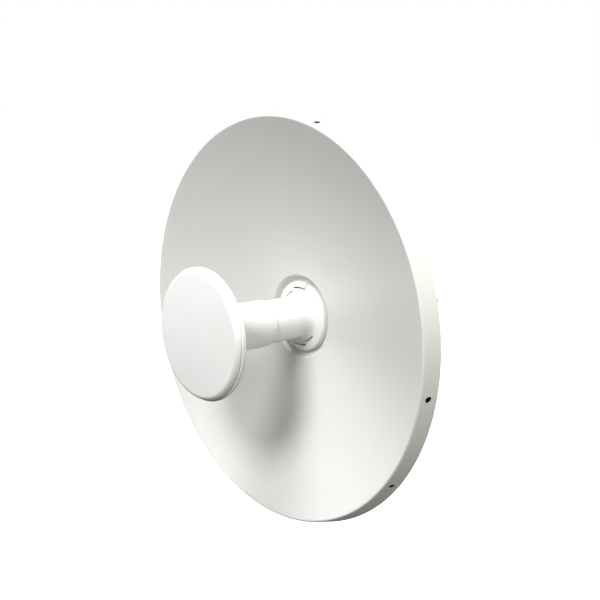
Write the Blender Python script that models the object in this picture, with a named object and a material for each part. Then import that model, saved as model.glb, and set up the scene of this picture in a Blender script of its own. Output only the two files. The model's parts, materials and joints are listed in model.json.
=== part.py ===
"""Point-to-point parabolic dish antenna with a plug-in feed and a tilting pole mount.

Lengths below are in millimetres and are turned into metres when a mesh is made.
The dish looks along -Y, +Z is up, and the origin is on the pole's axis.
"Depth" is the distance behind the rim plane, so the front disc has a negative depth.
"""
import math

import bmesh
import bpy
from mathutils import Matrix, Vector

MM = 0.001
GAP = 0.3                       # between pieces that touch
POLE_DEPTH = 157.0              # rim plane to pole axis

# reflector
APERTURE_RADIUS = 209.0
DISH_DEPTH = 40.2
SHEET = 1.2
LIP_RADIUS = 210.4
FLANGE_RADIUS = 214.7
FLANGE_DEPTH = 18.0
RIM_HOLE_RADIUS = 3.3
RIM_HOLE_DEPTH = 9.0
RIM_HOLE_PAIRS = (90.0, -22.2, 202.2)
RIM_HOLE_HALF_SPACING = 14.2
CUP_RADIUS = 43.5
CUP_FLOOR = 45.5
DISH_BORE = 24.0

# feed
TUBE_RADIUS = 24.1
TUBE_BORE = 22.0
TUBE_FRONT = -79.5
TUBE_REAR = -11.0
CAP_FACE = -94.4
CAP_RADIUS = 64.8
SHELL_RADIUS = 66.3
SHELL_FRONT = -88.3
COLLAR_RADIUS = 22.3
COLLAR_BORE = 19.8
COLLAR_REAR = 60.0
FLANGE_DISC_RADIUS = 37.0
FLANGE_SKIRT_END = CUP_FLOOR - GAP
BOARD_X = -6.0
BOARD_THICK = 1.6
BOARD_HALF_HEIGHT = 17.0
BOARD_FRONT = -70.0
BOARD_REAR = 92.0
BOARD_SCREW_DEPTHS = (-58.0, 30.0)

# squeeze tabs in the collar's flange
TAB_ANGLES = (78.0, 112.0, 142.0)       # free end, step, root
TAB_INNER = (31.3, 28.3)                # inner radius before and after the step
TAB_SLIT = 1.5
TAB_PIVOT_RADIUS = 33.0
TAB_PIVOT_ANGLE = 140.0

# hub plate and rear housing
PLATE_HALF_WIDTH = 50.0
PLATE_HALF_HEIGHT = 44.0
PLATE_FRONT = CUP_FLOOR + SHEET + GAP
PLATE_THICK = 5.0
PLATE_BORE = 22.7
HUB_SCREW_RADIUS = 29.5
GROUND_PLACE = (41.0, -35.0)         # x and z
HOUSING_HALF_WIDTH = 34.0
HOUSING_LOW = -36.0
HOUSING_HIGH = 34.0
HOUSING_CORNER = 12.0
HOUSING_WALL = 2.5
HOUSING_REAR = 96.0
GASKET_THICK = 1.0
PORT_X = 1.75
PORT_DEPTH = 83.2
BUTTON_DEPTH = 68.0
LIGHT_PLACE = (-12.0, 20.0)          # x and z
COVER_HINGE_DEPTH = 57.0
COVER_HINGE_Z = -39.4
COVER_KNUCKLE = 2.6

# tilting mount
TILT_DEPTH = 108.0
EAR_INNER = 46.0
EAR_THICK = 4.0
EAR_HALF_HEIGHT = 14.0
LOCK_RADIUS = 26.0
TILT_LIMIT = 20.0
BRACKET_THICK = 3.0
BRACKET_EAR_INNER = EAR_INNER + EAR_THICK + 0.5
WEB_DEPTH = 124.0
WEB_HALF_HEIGHT = 36.0
CLAMP_BOLT_X = 36.0
CLAMP_BOLT_END = 214.0
POLE_RADIUS = 25.0
VEE_HALF_ANGLE = math.radians(60.0)
VEE_HALF_WIDTH = 30.0

AXES = {
    "X": (Vector((1, 0, 0)), Vector((0, 1, 0)), Vector((0, 0, 1))),
    "-X": (Vector((-1, 0, 0)), Vector((0, 1, 0)), Vector((0, 0, 1))),
    "Y": (Vector((0, 1, 0)), Vector((1, 0, 0)), Vector((0, 0, 1))),
    "-Y": (Vector((0, -1, 0)), Vector((1, 0, 0)), Vector((0, 0, 1))),
    "Z": (Vector((0, 0, 1)), Vector((1, 0, 0)), Vector((0, 1, 0))),
    "-Z": (Vector((0, 0, -1)), Vector((1, 0, 0)), Vector((0, 1, 0))),
}
FINISHES = {
    "white_powder_coat": ((0.88, 0.89, 0.87), 0.45, 0.0),
    "white_satin_plastic": ((0.88, 0.87, 0.86), 0.38, 0.0),
    "white_gloss_plastic": ((0.90, 0.91, 0.90), 0.15, 0.0),
    "grey_plastic": ((0.72, 0.73, 0.72), 0.45, 0.0),
    "black_plastic": ((0.03, 0.03, 0.03), 0.5, 0.0),
    "clear_plastic": ((0.85, 0.9, 0.9), 0.1, 0.0),
    "black_rubber": ((0.04, 0.04, 0.04), 0.8, 0.0),
    "cast_aluminium": ((0.62, 0.63, 0.64), 0.5, 1.0),
    "galvanised_steel": ((0.6, 0.61, 0.62), 0.42, 1.0),
    "stainless_steel": ((0.68, 0.68, 0.67), 0.25, 1.0),
    "spun_aluminium": ((0.8, 0.8, 0.81), 0.3, 1.0),
    "tinned_steel": ((0.7, 0.7, 0.69), 0.3, 1.0),
    "circuit_board": ((0.02, 0.16, 0.09), 0.4, 0.0),
    "white_ptfe": ((0.93, 0.93, 0.92), 0.5, 0.0),
}


def world(x, depth, z):
    """A place given by x, depth behind the rim plane and z, in metres."""
    return Vector((x, depth - POLE_DEPTH, z)) * MM


def clear_scene():
    for thing in list(bpy.data.objects):
        bpy.data.objects.remove(thing, do_unlink=True)


def finish(name):
    material = bpy.data.materials.new(name)
    colour, roughness, metallic = FINISHES[name]
    material.use_nodes = True
    shader = material.node_tree.nodes["Principled BSDF"]
    shader.inputs["Base Color"].default_value = (*colour, 1.0)
    shader.inputs["Roughness"].default_value = roughness
    shader.inputs["Metallic"].default_value = metallic
    return material


def add_object(name, bm, finish_name, location=Vector((0, 0, 0)), smooth=True):
    bmesh.ops.recalc_face_normals(bm, faces=bm.faces)
    mesh = bpy.data.meshes.new(name)
    bm.to_mesh(mesh)
    bm.free()
    if smooth:
        mesh.shade_smooth()
        mesh.set_sharp_from_angle(angle=math.radians(35))
    if finish_name:
        mesh.materials.append(MATERIALS[finish_name])
    piece = bpy.data.objects.new(name, mesh)
    piece.location = location
    bpy.context.collection.objects.link(piece)
    return piece


def turned(name, outline, finish_name=None, segments=24, centre=(0, 0, 0), axis="Y"):
    """Spin a closed outline of (radius, distance along the axis) round an axis."""
    along, side, up = AXES[axis]
    bm = bmesh.new()
    rings = []
    for radius, distance in outline:
        if radius == 0:
            rings.append([bm.verts.new(along * distance * MM)])
            continue
        ring = []
        for step in range(segments):
            angle = 2 * math.pi * step / segments
            out = side * math.cos(angle) + up * math.sin(angle)
            ring.append(bm.verts.new((along * distance + out * radius) * MM))
        rings.append(ring)
    for ring, other in zip(rings, rings[1:] + rings[:1]):
        for step in range(segments):
            after = (step + 1) % segments
            corners = [ring[step % len(ring)], ring[after % len(ring)],
                       other[after % len(other)], other[step % len(other)]]
            corners = list(dict.fromkeys(corners))
            if len(corners) > 2:
                bm.faces.new(corners)
    return add_object(name, bm, finish_name, world(*centre))


def plane_point(axis, first, second, along):
    """(first, second) are (x, z) for axis Y, (depth, z) for X and (x, depth) for Z."""
    if axis == "Y":
        return world(first, along, second)
    if axis == "X":
        return world(along, first, second)
    return world(first, second, along)


def prism(name, outline, axis, start, end, finish_name=None, smooth=True):
    """Extrude a closed outline along an axis, from start to end."""
    bm = bmesh.new()
    near = [bm.verts.new(plane_point(axis, a, b, start)) for a, b in outline]
    far = [bm.verts.new(plane_point(axis, a, b, end)) for a, b in outline]
    bm.faces.new(near)
    bm.faces.new(far)
    for step in range(len(outline)):
        after = (step + 1) % len(outline)
        bm.faces.new((near[step], near[after], far[after], far[step]))
    return add_object(name, bm, finish_name, smooth=smooth)


def frame_prism(name, outer, inner, axis, start, end, finish_name):
    """Extrude the band between two outlines with the same number of points."""
    bm = bmesh.new()
    loops = [[bm.verts.new(plane_point(axis, a, b, along)) for a, b in outline]
             for outline, along in ((outer, start), (outer, end), (inner, end), (inner, start))]
    for loop, other in zip(loops, loops[1:] + loops[:1]):
        for step in range(len(outer)):
            after = (step + 1) % len(outer)
            bm.faces.new((loop[step], loop[after], other[after], other[step]))
    return add_object(name, bm, finish_name)


def block(name, x_range, depth_range, z_range, finish_name=None):
    (x0, x1), (z0, z1) = x_range, z_range
    outline = [(x0, z0), (x1, z0), (x1, z1), (x0, z1)]
    return prism(name, outline, "Y", *depth_range, finish_name, smooth=False)


def circle(centre, radius, count=20, turn=0.0):
    return [(centre[0] + radius * math.cos(turn + 2 * math.pi * step / count),
             centre[1] + radius * math.sin(turn + 2 * math.pi * step / count))
            for step in range(count)]


def arc(centre, radius, start, end, steps):
    """Points on an arc, angles in degrees."""
    points = []
    for step in range(steps + 1):
        angle = math.radians(start + (end - start) * step / steps)
        points.append((centre[0] + radius * math.cos(angle),
                       centre[1] + radius * math.sin(angle)))
    return points


def rounded_rectangle(left, right, low, high, radius, steps=5):
    outline = []
    corners = ((right, high, 0), (left, high, 90), (left, low, 180), (right, low, 270))
    for x, z, turn in corners:
        inward_x = x - radius if x == right else x + radius
        inward_z = z - radius if z == high else z + radius
        outline += arc((inward_x, inward_z), radius, turn, turn + 90, steps)
    return outline


def combine(piece, tool, operation):
    """Cut or join with a tool that stays hidden."""
    tool.hide_render = True
    tool.display_type = "WIRE"
    modifier = piece.modifiers.new(f"{operation.lower()} {tool.name}", "BOOLEAN")
    modifier.operation = operation
    modifier.solver = "EXACT"
    modifier.object = tool


def cut(piece, tool):
    combine(piece, tool, "DIFFERENCE")


def join(piece, tool):
    combine(piece, tool, "UNION")


def rod(name, centre, radius, axis, start, end, segments=14):
    outline = [(0, start), (radius, start), (radius, end), (0, end)]
    return turned(name, outline, segments=segments, centre=centre, axis=axis)


def drill(piece, centre, radius, axis, start, end, segments=14):
    """Cut a round hole whose length runs from start to end along the axis."""
    cut(piece, rod(f"{piece.name}_drill", centre, radius, axis, start, end, segments))


def cut_together(piece, tools):
    """Cut with several tools at once, as one mesh of separate bodies."""
    bm = bmesh.new()
    for tool in tools:
        copy = tool.data.copy()
        copy.transform(tool.matrix_basis)
        bm.from_mesh(copy)
        bpy.data.objects.remove(tool)
        bpy.data.meshes.remove(copy)
    cut(piece, add_object(f"{piece.name}_drills", bm, None))


def pivot(name, x, depth, z):
    empty = bpy.data.objects.new(name, None)
    empty.empty_display_size = 0.02
    empty.location = world(x, depth, z)
    bpy.context.collection.objects.link(empty)
    return empty


def mount_on(empty, pieces):
    """Parent pieces to an empty on their joint's axis, without moving them."""
    for piece in pieces:
        piece.parent = empty
        piece.matrix_parent_inverse = Matrix.Translation(-empty.location)


def headed_bolt(name, centre, axis, head_radius, head_height, shank_radius, length,
                finish_name="stainless_steel", dome=0.0):
    """A bolt whose head sits behind the centre and whose shank runs along the axis."""
    outline = [(0, -head_height), (head_radius * (1 - dome), -head_height),
               (head_radius, -head_height * (1 - dome)), (head_radius, 0),
               (shank_radius, 0), (shank_radius, length), (0, length)]
    return turned(name, outline, finish_name, 12, centre, axis)


def washer(name, centre, axis, outer, inner, thick, finish_name="stainless_steel"):
    outline = [(inner, 0), (outer, 0), (outer, thick), (inner, thick)]
    return turned(name, outline, finish_name, 14, centre, axis)


def hex_nut(name, axis, centre, start, end, across_flats, bore):
    """A nut with twelve points round its outline: six corners and six flats."""
    outer = []
    for step in range(12):
        radius = across_flats / 2 if step % 2 else across_flats / math.sqrt(3)
        angle = math.radians(30 * step)
        outer.append((centre[0] + radius * math.cos(angle), centre[1] + radius * math.sin(angle)))
    return frame_prism(name, outer, circle(centre, bore, 12), axis, start, end, "stainless_steel")


def dish_front(radius):
    return DISH_DEPTH * (1 - (radius / APERTURE_RADIUS) ** 2)


def dish_back(radius):
    """The point one sheet thickness behind the front surface at a radius."""
    slope = -2 * DISH_DEPTH * radius / APERTURE_RADIUS ** 2
    length = math.hypot(1, slope)
    return radius - SHEET * slope / length, dish_front(radius) + SHEET / length


def make_reflector():
    steps = 8
    first, last = CUP_RADIUS + 3.0, APERTURE_RADIUS - 0.6
    radii = [first + (last - first) * step / steps for step in range(steps + 1)]
    lip = dish_front(CUP_RADIUS)
    floor_back = CUP_FLOOR + SHEET
    outline = [(DISH_BORE, CUP_FLOOR), (CUP_RADIUS - 3.5, CUP_FLOOR),
               (CUP_RADIUS - 2.3, CUP_FLOOR - 0.5), (CUP_RADIUS - 1.8, CUP_FLOOR - 1.6),
               (CUP_RADIUS - 1.2, lip + 2.2), (CUP_RADIUS - 0.5, lip + 0.9),
               (CUP_RADIUS + 1.0, lip + 0.2)]
    outline += [(radius, dish_front(radius)) for radius in radii]
    outline += [(APERTURE_RADIUS + 0.4, -0.4), (LIP_RADIUS - 0.3, 0.2), (LIP_RADIUS, 2.6),
                (FLANGE_RADIUS, FLANGE_DEPTH), (FLANGE_RADIUS - SHEET, FLANGE_DEPTH),
                (LIP_RADIUS - SHEET, 3.4)]
    outline += [dish_back(radius) for radius in reversed(radii[:-1])]
    outline += [(CUP_RADIUS + 0.5, lip + 2.2), (CUP_RADIUS - 0.2, CUP_FLOOR - 0.8),
                (CUP_RADIUS - 1.0, floor_back - 0.6), (CUP_RADIUS - 2.8, floor_back),
                (DISH_BORE, floor_back)]
    reflector = turned("reflector", outline, "white_powder_coat", 60)
    drills = [rod("floor_drill", (x, 0, z), 2.9, "Y", CUP_FLOOR - 1, floor_back + 1)
              for x, z in hub_screw_places()]
    for pair in RIM_HOLE_PAIRS:
        for side in (-1, 1):
            angle = math.radians(pair + side * RIM_HOLE_HALF_SPACING)
            tool = rod("rim_drill", (0, RIM_HOLE_DEPTH, 0), RIM_HOLE_RADIUS, "X",
                       LIP_RADIUS - 8, FLANGE_RADIUS + 8)
            tool.rotation_euler = (0, -angle, 0)
            drills.append(tool)
    cut_together(reflector, drills)
    return reflector


def make_rim_plugs():
    """Blind plugs, sunk in the holes of the rim."""
    outline = [(0, 206.6), (4.4, 206.6), (4.4, 208.8), (3.0, 209.1), (3.0, 210.9), (0, 210.9)]
    plugs = []
    for pair in RIM_HOLE_PAIRS:
        for side in (-1, 1):
            plug = turned(f"rim_plug_{len(plugs) + 1}", outline, "black_rubber", 12,
                          (0, RIM_HOLE_DEPTH, 0), "X")
            angle = math.radians(pair + side * RIM_HOLE_HALF_SPACING)
            plug.data.transform(Matrix.Rotation(-angle, 4, "Y"))
            plugs.append(plug)
    return plugs


def hub_screw_places():
    return [(HUB_SCREW_RADIUS, 0), (0, HUB_SCREW_RADIUS),
            (-HUB_SCREW_RADIUS, 0), (0, -HUB_SCREW_RADIUS)]


def make_radome_cap():
    outline = [(0, CAP_FACE), (59.8, CAP_FACE), (61.8, -94.0), (63.4, -92.9), (64.4, -91.3),
               (CAP_RADIUS, -89.5), (CAP_RADIUS, SHELL_FRONT - GAP), (63, SHELL_FRONT - GAP),
               (63, -86.7), (61.2, -86.7), (61.2, -90.2), (59.8, -91.7), (58.4, -92.2),
               (0, -92.2)]
    return turned("radome_cap", outline, "white_satin_plastic", 40)


def make_subreflector_shell():
    outline = [(SHELL_RADIUS, SHELL_FRONT), (SHELL_RADIUS, -85.2), (65.8, -84.3), (64.8, -83.7),
               (62.4, -83.4), (36, -79.7), (27.5, -77.4), (26.5, -76), (26.5, -72.4),
               (24.4, -72.4), (24.4, -79.8), (22.5, -79.8), (22.5, -81.3), (36, -81.9),
               (60, -84.6), (63.4, -84.6), (63.4, SHELL_FRONT)]
    return turned("subreflector_shell", outline, "white_satin_plastic", 40)


def make_cap_seal():
    outline = [(61.4, -86.3), (63.0, -86.3), (63.0, -85.0), (61.4, -85.0)]
    return turned("cap_seal", outline, "black_rubber", 30)


def make_subreflector_plate():
    outline = [(0, -89.5), (56, -91.9), (56, -90.9), (0, -88.5)]
    return turned("subreflector_plate", outline, "spun_aluminium", 32)


def make_dielectric_post():
    outline = [(0, -85.6), (7.5, -85.6), (9, -84), (9, -73.9), (0, -73.9)]
    return turned("dielectric_post", outline, "white_ptfe", 24)


def make_dipole_board():
    outline = [(0, -73.6), (20.5, -73.6), (20.5, -72.0), (0, -72.0)]
    return turned("dipole_board", outline, "circuit_board", 32)


def make_feed_tube():
    outline = [(TUBE_BORE, TUBE_FRONT), (TUBE_RADIUS, TUBE_FRONT), (TUBE_RADIUS, TUBE_REAR - 2.2),
               (TUBE_RADIUS - 0.3, TUBE_REAR - 1.2), (TUBE_RADIUS - 0.9, TUBE_REAR - 0.4),
               (TUBE_RADIUS - 1.7, TUBE_REAR), (TUBE_BORE, TUBE_REAR)]
    return turned("feed_tube", outline, "white_satin_plastic", 36)


def make_tube_seal():
    outline = [(21.0, -16.9), (21.7, -16.9), (21.7, -15.1), (21.0, -15.1)]
    return turned("tube_seal", outline, "black_rubber", 30)


def flange_top(radius):
    """Depth of the collar flange's domed front face at a radius."""
    if radius < 29:
        return 37.7
    return 37.7 + 1.3 * (radius - 29) / 6.8


def make_collar():
    spigot = 21.6
    outline = [(COLLAR_BORE, -22), (spigot, -22), (spigot, -17.3), (20.7, -17.3),
               (20.7, -14.7), (spigot, -14.7), (spigot, TUBE_REAR + GAP),
               (COLLAR_RADIUS, TUBE_REAR + GAP)]
    outline += [(COLLAR_RADIUS, 29), (22.6, 31.5), (23.3, 33.8), (24.7, 35.7), (26.6, 37.0),
                (29, flange_top(29)), (35.8, flange_top(35.8)), (36.7, 39.5),
                (FLANGE_DISC_RADIUS, 40.4), (FLANGE_DISC_RADIUS, FLANGE_SKIRT_END),
                (35, FLANGE_SKIRT_END), (35, 41.6), (COLLAR_RADIUS, 41.0),
                (COLLAR_RADIUS, COLLAR_REAR), (COLLAR_BORE, COLLAR_REAR)]
    collar = turned("hub_collar", outline, "white_gloss_plastic", 36)
    for turn in (0, 180):
        free, step, root = TAB_ANGLES
        slit_turn = math.degrees(TAB_SLIT / TAB_PIVOT_RADIUS)
        stations = tab_stations(free - slit_turn, step, root + 1.0, -TAB_SLIT, turn)
        tool = tab_body(f"tab_window_{turn}", stations, cutter=True)
        cut(collar, tool)
    return collar


def tab_stations(free, step, root, grow, turn):
    """Angles along a squeeze tab with its inner radius at each; grow widens a cutter."""
    stations = []
    for start, end, inner in ((free, step, TAB_INNER[0]), (step + 0.8, root, TAB_INNER[1])):
        for part in range(6):
            angle = start + (end - start) * part / 5
            stations.append((math.radians(angle + turn), inner + grow))
    return stations


def tab_section(inner, cutter):
    if cutter:
        return [(inner, 30.0), (40.0, 30.0), (40.0, 46.0), (inner, 46.0)]
    return [(inner, flange_top(inner)), (35.8, flange_top(35.8)), (36.7, 39.5),
            (FLANGE_DISC_RADIUS, 40.4), (FLANGE_DISC_RADIUS, FLANGE_SKIRT_END),
            (35, FLANGE_SKIRT_END), (35, 41.6), (inner, 41.2)]


def tab_body(name, stations, cutter=False, finish_name=None):
    """Loft the tab's section from its free end to its root."""
    bm = bmesh.new()
    sections = []
    for angle, inner in stations:
        section = [bm.verts.new(world(radius * math.cos(angle), depth, radius * math.sin(angle)))
                   for radius, depth in tab_section(inner, cutter)]
        sections.append(section)
    count = len(sections[0])
    for section, other in zip(sections, sections[1:]):
        for step in range(count):
            after = (step + 1) % count
            bm.faces.new((section[step], section[after], other[after], other[step]))
    bm.faces.new(sections[0])
    bm.faces.new(sections[-1])
    return add_object(name, bm, finish_name)


def make_tabs():
    for name, turn in (("latch_tab_upper", 0), ("latch_tab_lower", 180)):
        tab = tab_body(name, tab_stations(*TAB_ANGLES, 0, turn), finish_name="white_gloss_plastic")
        angle = math.radians(TAB_PIVOT_ANGLE + turn)
        axis = pivot(f"{name}_pivot", TAB_PIVOT_RADIUS * math.cos(angle), 42,
                     TAB_PIVOT_RADIUS * math.sin(angle))
        mount_on(axis, [tab])


def make_board_carrier():
    """A D-shaped sled that fills the tube behind the board."""
    chord = BOARD_X - BOARD_THICK / 2 - GAP
    radius = COLLAR_BORE - 0.4
    half = math.degrees(math.acos(-chord / radius))
    outline = arc((0, 0), radius, 180 - half, 180 + half, 12)
    carrier = prism("board_carrier", outline, "Y", BOARD_FRONT - 1.5, 56, "black_plastic")
    for depth in BOARD_SCREW_DEPTHS:
        drill(carrier, (0, depth, 0), 1.4, "X", -15, chord + 2, 12)
    return carrier


def make_radio_board():
    half = BOARD_THICK / 2
    board = block("radio_board", (BOARD_X - half, BOARD_X + half), (BOARD_FRONT, BOARD_REAR),
                  (-BOARD_HALF_HEIGHT, BOARD_HALF_HEIGHT), "circuit_board")
    for depth in BOARD_SCREW_DEPTHS:
        drill(board, (0, depth, 0), 1.5, "X", BOARD_X - 3, BOARD_X + 3, 12)
    return board


def make_board_screws():
    face = BOARD_X + BOARD_THICK / 2 + GAP
    return [headed_bolt(name, (face, depth, 0), "-X", 2.8, 1.7, 1.1, 8.0, dome=0.3)
            for name, depth in zip(("board_screw_front", "board_screw_rear"),
                                   BOARD_SCREW_DEPTHS)]


def make_shield_can():
    """A tinned lid with four walls, open towards the board."""
    face = BOARD_X + BOARD_THICK / 2 + GAP
    can = block("shield_can", (face, 1.5), (-50, 0), (-13, 13), "tinned_steel")
    cut(can, block("shield_can_hollow", (face - 1, 0.9), (-49.4, -0.6), (-12.4, 12.4)))
    return can


def make_ethernet_jack():
    """A shielded socket on the board's end, with its mouth facing down."""
    face = BOARD_X + BOARD_THICK / 2 + GAP
    jack = block("ethernet_jack", (face, 8.4), (PORT_DEPTH - 8, PORT_DEPTH + 8), (-17.3, 3.7),
                 "tinned_steel")
    half = 5.9
    cut(jack, block("jack_mouth", (PORT_X - 3.4, PORT_X + 3.6),
                    (PORT_DEPTH - half, PORT_DEPTH + half), (-18, -4)))
    cut(jack, block("jack_key", (PORT_X + 2, PORT_X + 5.2),
                    (PORT_DEPTH - 3.2, PORT_DEPTH + 3.2), (-18, -6)))
    return jack


def make_reset_switch():
    face = BOARD_X + BOARD_THICK / 2 + GAP
    switch = block("reset_switch", (face, 4.1), (BUTTON_DEPTH - 3, BUTTON_DEPTH + 3),
                   (-18.2, -13), "black_plastic")
    plunger = turned("switch_plunger", [(0, -19), (1.5, -19), (1.5, -17), (0, -17)],
                     segments=12, centre=(PORT_X, BUTTON_DEPTH, 0), axis="Z")
    join(switch, plunger)
    return switch


def housing_screw_places():
    return [(24, 24), (-24, 24), (-24, -26), (24, -26)]


def make_hub_plate():
    back = PLATE_FRONT + PLATE_THICK
    outline = rounded_rectangle(-PLATE_HALF_WIDTH, PLATE_HALF_WIDTH, -PLATE_HALF_HEIGHT,
                                PLATE_HALF_HEIGHT, 10)
    plate = prism("hub_plate", outline, "Y", PLATE_FRONT, back, "cast_aluminium")
    for side, name in ((-1, "left"), (1, "right")):
        ear_outline = arc((TILT_DEPTH, 0), EAR_HALF_HEIGHT, -90, 90, 10)
        ear_outline += [(back - 2, EAR_HALF_HEIGHT + 6), (back - 2, -EAR_HALF_HEIGHT - 6)]
        near, far = sorted((side * EAR_INNER, side * (EAR_INNER + EAR_THICK)))
        join(plate, prism(f"hub_ear_{name}", ear_outline, "X", near, far))
    drill(plate, (0, 0, 0), PLATE_BORE, "Y", PLATE_FRONT - 1, back + 1, 48)
    for x, z in hub_screw_places():
        drill(plate, (x, 0, z), 2.8, "Y", PLATE_FRONT - 1, back + 1)
    for x, z in housing_screw_places():
        drill(plate, (x, 0, z), 1.9, "Y", PLATE_FRONT - 1, back + 1, 12)
    drill(plate, (0, TILT_DEPTH, 0), 4.3, "X", -60, 60)
    drill(plate, (0, TILT_DEPTH - LOCK_RADIUS, 0), 3.3, "X", -60, 60)
    drill(plate, (GROUND_PLACE[0], 0, GROUND_PLACE[1]), 2.8, "Y", PLATE_FRONT + 1.5, back + 1)
    return plate


def make_hub_screws():
    return [headed_bolt(f"hub_screw_{number}", (x, CUP_FLOOR - GAP, z), "Y", 4.2, 2.6, 2.5, 6.2,
                        dome=0.3)
            for number, (x, z) in enumerate(hub_screw_places(), 1)]


def make_housing_gasket():
    start = PLATE_FRONT + PLATE_THICK + GAP
    outer = rounded_rectangle(-HOUSING_HALF_WIDTH, HOUSING_HALF_WIDTH, HOUSING_LOW, HOUSING_HIGH,
                              HOUSING_CORNER)
    inner = rounded_rectangle(-HOUSING_HALF_WIDTH + HOUSING_WALL,
                              HOUSING_HALF_WIDTH - HOUSING_WALL, HOUSING_LOW + HOUSING_WALL,
                              HOUSING_HIGH - HOUSING_WALL, HOUSING_CORNER - HOUSING_WALL)
    return frame_prism("housing_gasket", outer, inner, "Y", start, start + GASKET_THICK,
                       "black_rubber")


def make_rear_housing():
    front = PLATE_FRONT + PLATE_THICK + GASKET_THICK + 2 * GAP
    outer = rounded_rectangle(-HOUSING_HALF_WIDTH, HOUSING_HALF_WIDTH, HOUSING_LOW, HOUSING_HIGH,
                              HOUSING_CORNER)
    inner = rounded_rectangle(-HOUSING_HALF_WIDTH + HOUSING_WALL,
                              HOUSING_HALF_WIDTH - HOUSING_WALL, HOUSING_LOW + HOUSING_WALL,
                              HOUSING_HIGH - HOUSING_WALL, HOUSING_CORNER - HOUSING_WALL)
    inner_rear = HOUSING_REAR - HOUSING_WALL
    housing = prism("rear_housing", outer, "Y", front, HOUSING_REAR, "grey_plastic")
    cut(housing, prism("housing_hollow", inner, "Y", front - 1, inner_rear))
    for x, z in housing_screw_places():
        post = [(0, front + 4), (4.2, front + 4), (4.2, HOUSING_REAR - 1), (0, HOUSING_REAR - 1)]
        join(housing, turned("housing_post", post, segments=16, centre=(x, 0, z)))
    for x in (PORT_X - 12.5, PORT_X + 12.5):
        join(housing, block("hinge_block", (x - 3.5, x + 3.5),
                            (COVER_HINGE_DEPTH - 2, COVER_HINGE_DEPTH + 2),
                            (COVER_HINGE_Z, HOUSING_LOW + 1)))
        join(housing, prism("hinge_knuckle", circle((COVER_HINGE_DEPTH, COVER_HINGE_Z),
                            COVER_KNUCKLE, 16), "X", x - 3.5, x + 3.5))
    for x, z in housing_screw_places():
        drill(housing, (x, 0, z), 1.9, "Y", front, HOUSING_REAR + 1, 12)
    drill(housing, (0, COVER_HINGE_DEPTH, COVER_HINGE_Z), 1.5, "X", -20, 24, 12)
    cut(housing, block("port_opening", (PORT_X - 11.5, PORT_X + 11.5), (74, 92.5), (-40, -30)))
    drill(housing, (PORT_X, BUTTON_DEPTH, 0), 2.1, "Z", -40, -30)
    drill(housing, (LIGHT_PLACE[0], 0, LIGHT_PLACE[1]), 2.5, "Y", 90, HOUSING_REAR + 1)
    return housing


def make_light_pipe():
    outline = [(0, 88), (3.6, 88), (3.6, 93.2), (2.2, 93.2), (2.2, 96.6), (1.6, 97.1), (0, 97.1)]
    return turned("light_pipe", outline, "clear_plastic", 16, (LIGHT_PLACE[0], 0, LIGHT_PLACE[1]))


def make_housing_screws():
    return [headed_bolt(f"housing_screw_{number}", (x, HOUSING_REAR + GAP, z), "-Y", 3.2, 2.4,
                        1.6, 47.0, dome=0.3)
            for number, (x, z) in enumerate(housing_screw_places(), 1)]


def make_ground_fixing():
    x, z = GROUND_PLACE
    back = PLATE_FRONT + PLATE_THICK
    ring = washer("ground_washer", (x, back + GAP, z), "Y", 5.5, 2.8, 1.0)
    screw = headed_bolt("ground_screw", (x, back + 2 * GAP + 1.0, z), "-Y", 4.5, 3.2, 2.5, 4.4,
                        dome=0.25)
    return [ring, screw]


def make_cover_seal():
    outer = rounded_rectangle(PORT_X - 17, PORT_X + 17, 62, 95, 4, 3)
    inner = rounded_rectangle(PORT_X - 14, PORT_X + 14, 64.8, 93, 2, 3)
    return frame_prism("cover_seal", outer, inner, "Z", -37.0, HOUSING_LOW - GAP, "black_rubber")


def make_port_cover():
    outline = rounded_rectangle(PORT_X - 20, PORT_X + 20, 60.6, 95.5, 3, 3)
    cover = prism("port_cover", outline, "Z", -39.5, -37.3, "grey_plastic")
    join(cover, block("cover_tongue", (PORT_X - 8, PORT_X + 8), (COVER_HINGE_DEPTH, 62),
                      (-39.5, -37.6)))
    join(cover, prism("cover_knuckle", circle((COVER_HINGE_DEPTH, COVER_HINGE_Z),
                      COVER_KNUCKLE, 16), "X", PORT_X - 8, PORT_X + 8))
    drill(cover, (0, COVER_HINGE_DEPTH, COVER_HINGE_Z), 1.5, "X", -20, 24, 12)
    drill(cover, (PORT_X, PORT_DEPTH, 0), 6.0, "Z", -42, -35, 20)
    return cover


def make_cable_grommet():
    outline = [(3.5, -41.2), (7, -41.2), (7.5, -40.7), (7.5, -39.8), (5.7, -39.8), (5.7, -37.0),
               (7.5, -37.0), (7.5, -36.2), (7, -35.8), (3.5, -35.8)]
    return turned("cable_grommet", outline, "black_rubber", 20, (PORT_X, PORT_DEPTH, 0), "Z")


def make_hinge_pin():
    outline = [(0, -16.4), (1.2, -16.4), (1.2, 16.4), (0, 16.4)]
    return turned("hinge_pin", outline, "stainless_steel", 12,
                  (PORT_X, COVER_HINGE_DEPTH, COVER_HINGE_Z), "X")


def make_reset_button():
    outline = [(0, -36.2), (1.7, -36.2), (1.7, -33.1), (3, -33.1), (3, -31.8), (1.7, -31.8),
               (1.7, -20.4), (0, -20.4)]
    return turned("reset_button", outline, "black_plastic", 16, (PORT_X, BUTTON_DEPTH, 0), "Z")


def vee_outline(apex, mouth_sign, back):
    """A V-notched jaw seen from above; the mouth opens along mouth_sign in depth."""
    reach = VEE_HALF_WIDTH / math.tan(VEE_HALF_ANGLE)
    tip = apex + mouth_sign * reach
    outer = VEE_HALF_WIDTH + 2
    return [(-outer, back), (outer, back), (outer, tip), (VEE_HALF_WIDTH, tip), (0, apex),
            (-VEE_HALF_WIDTH, tip), (-outer, tip)]


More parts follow.
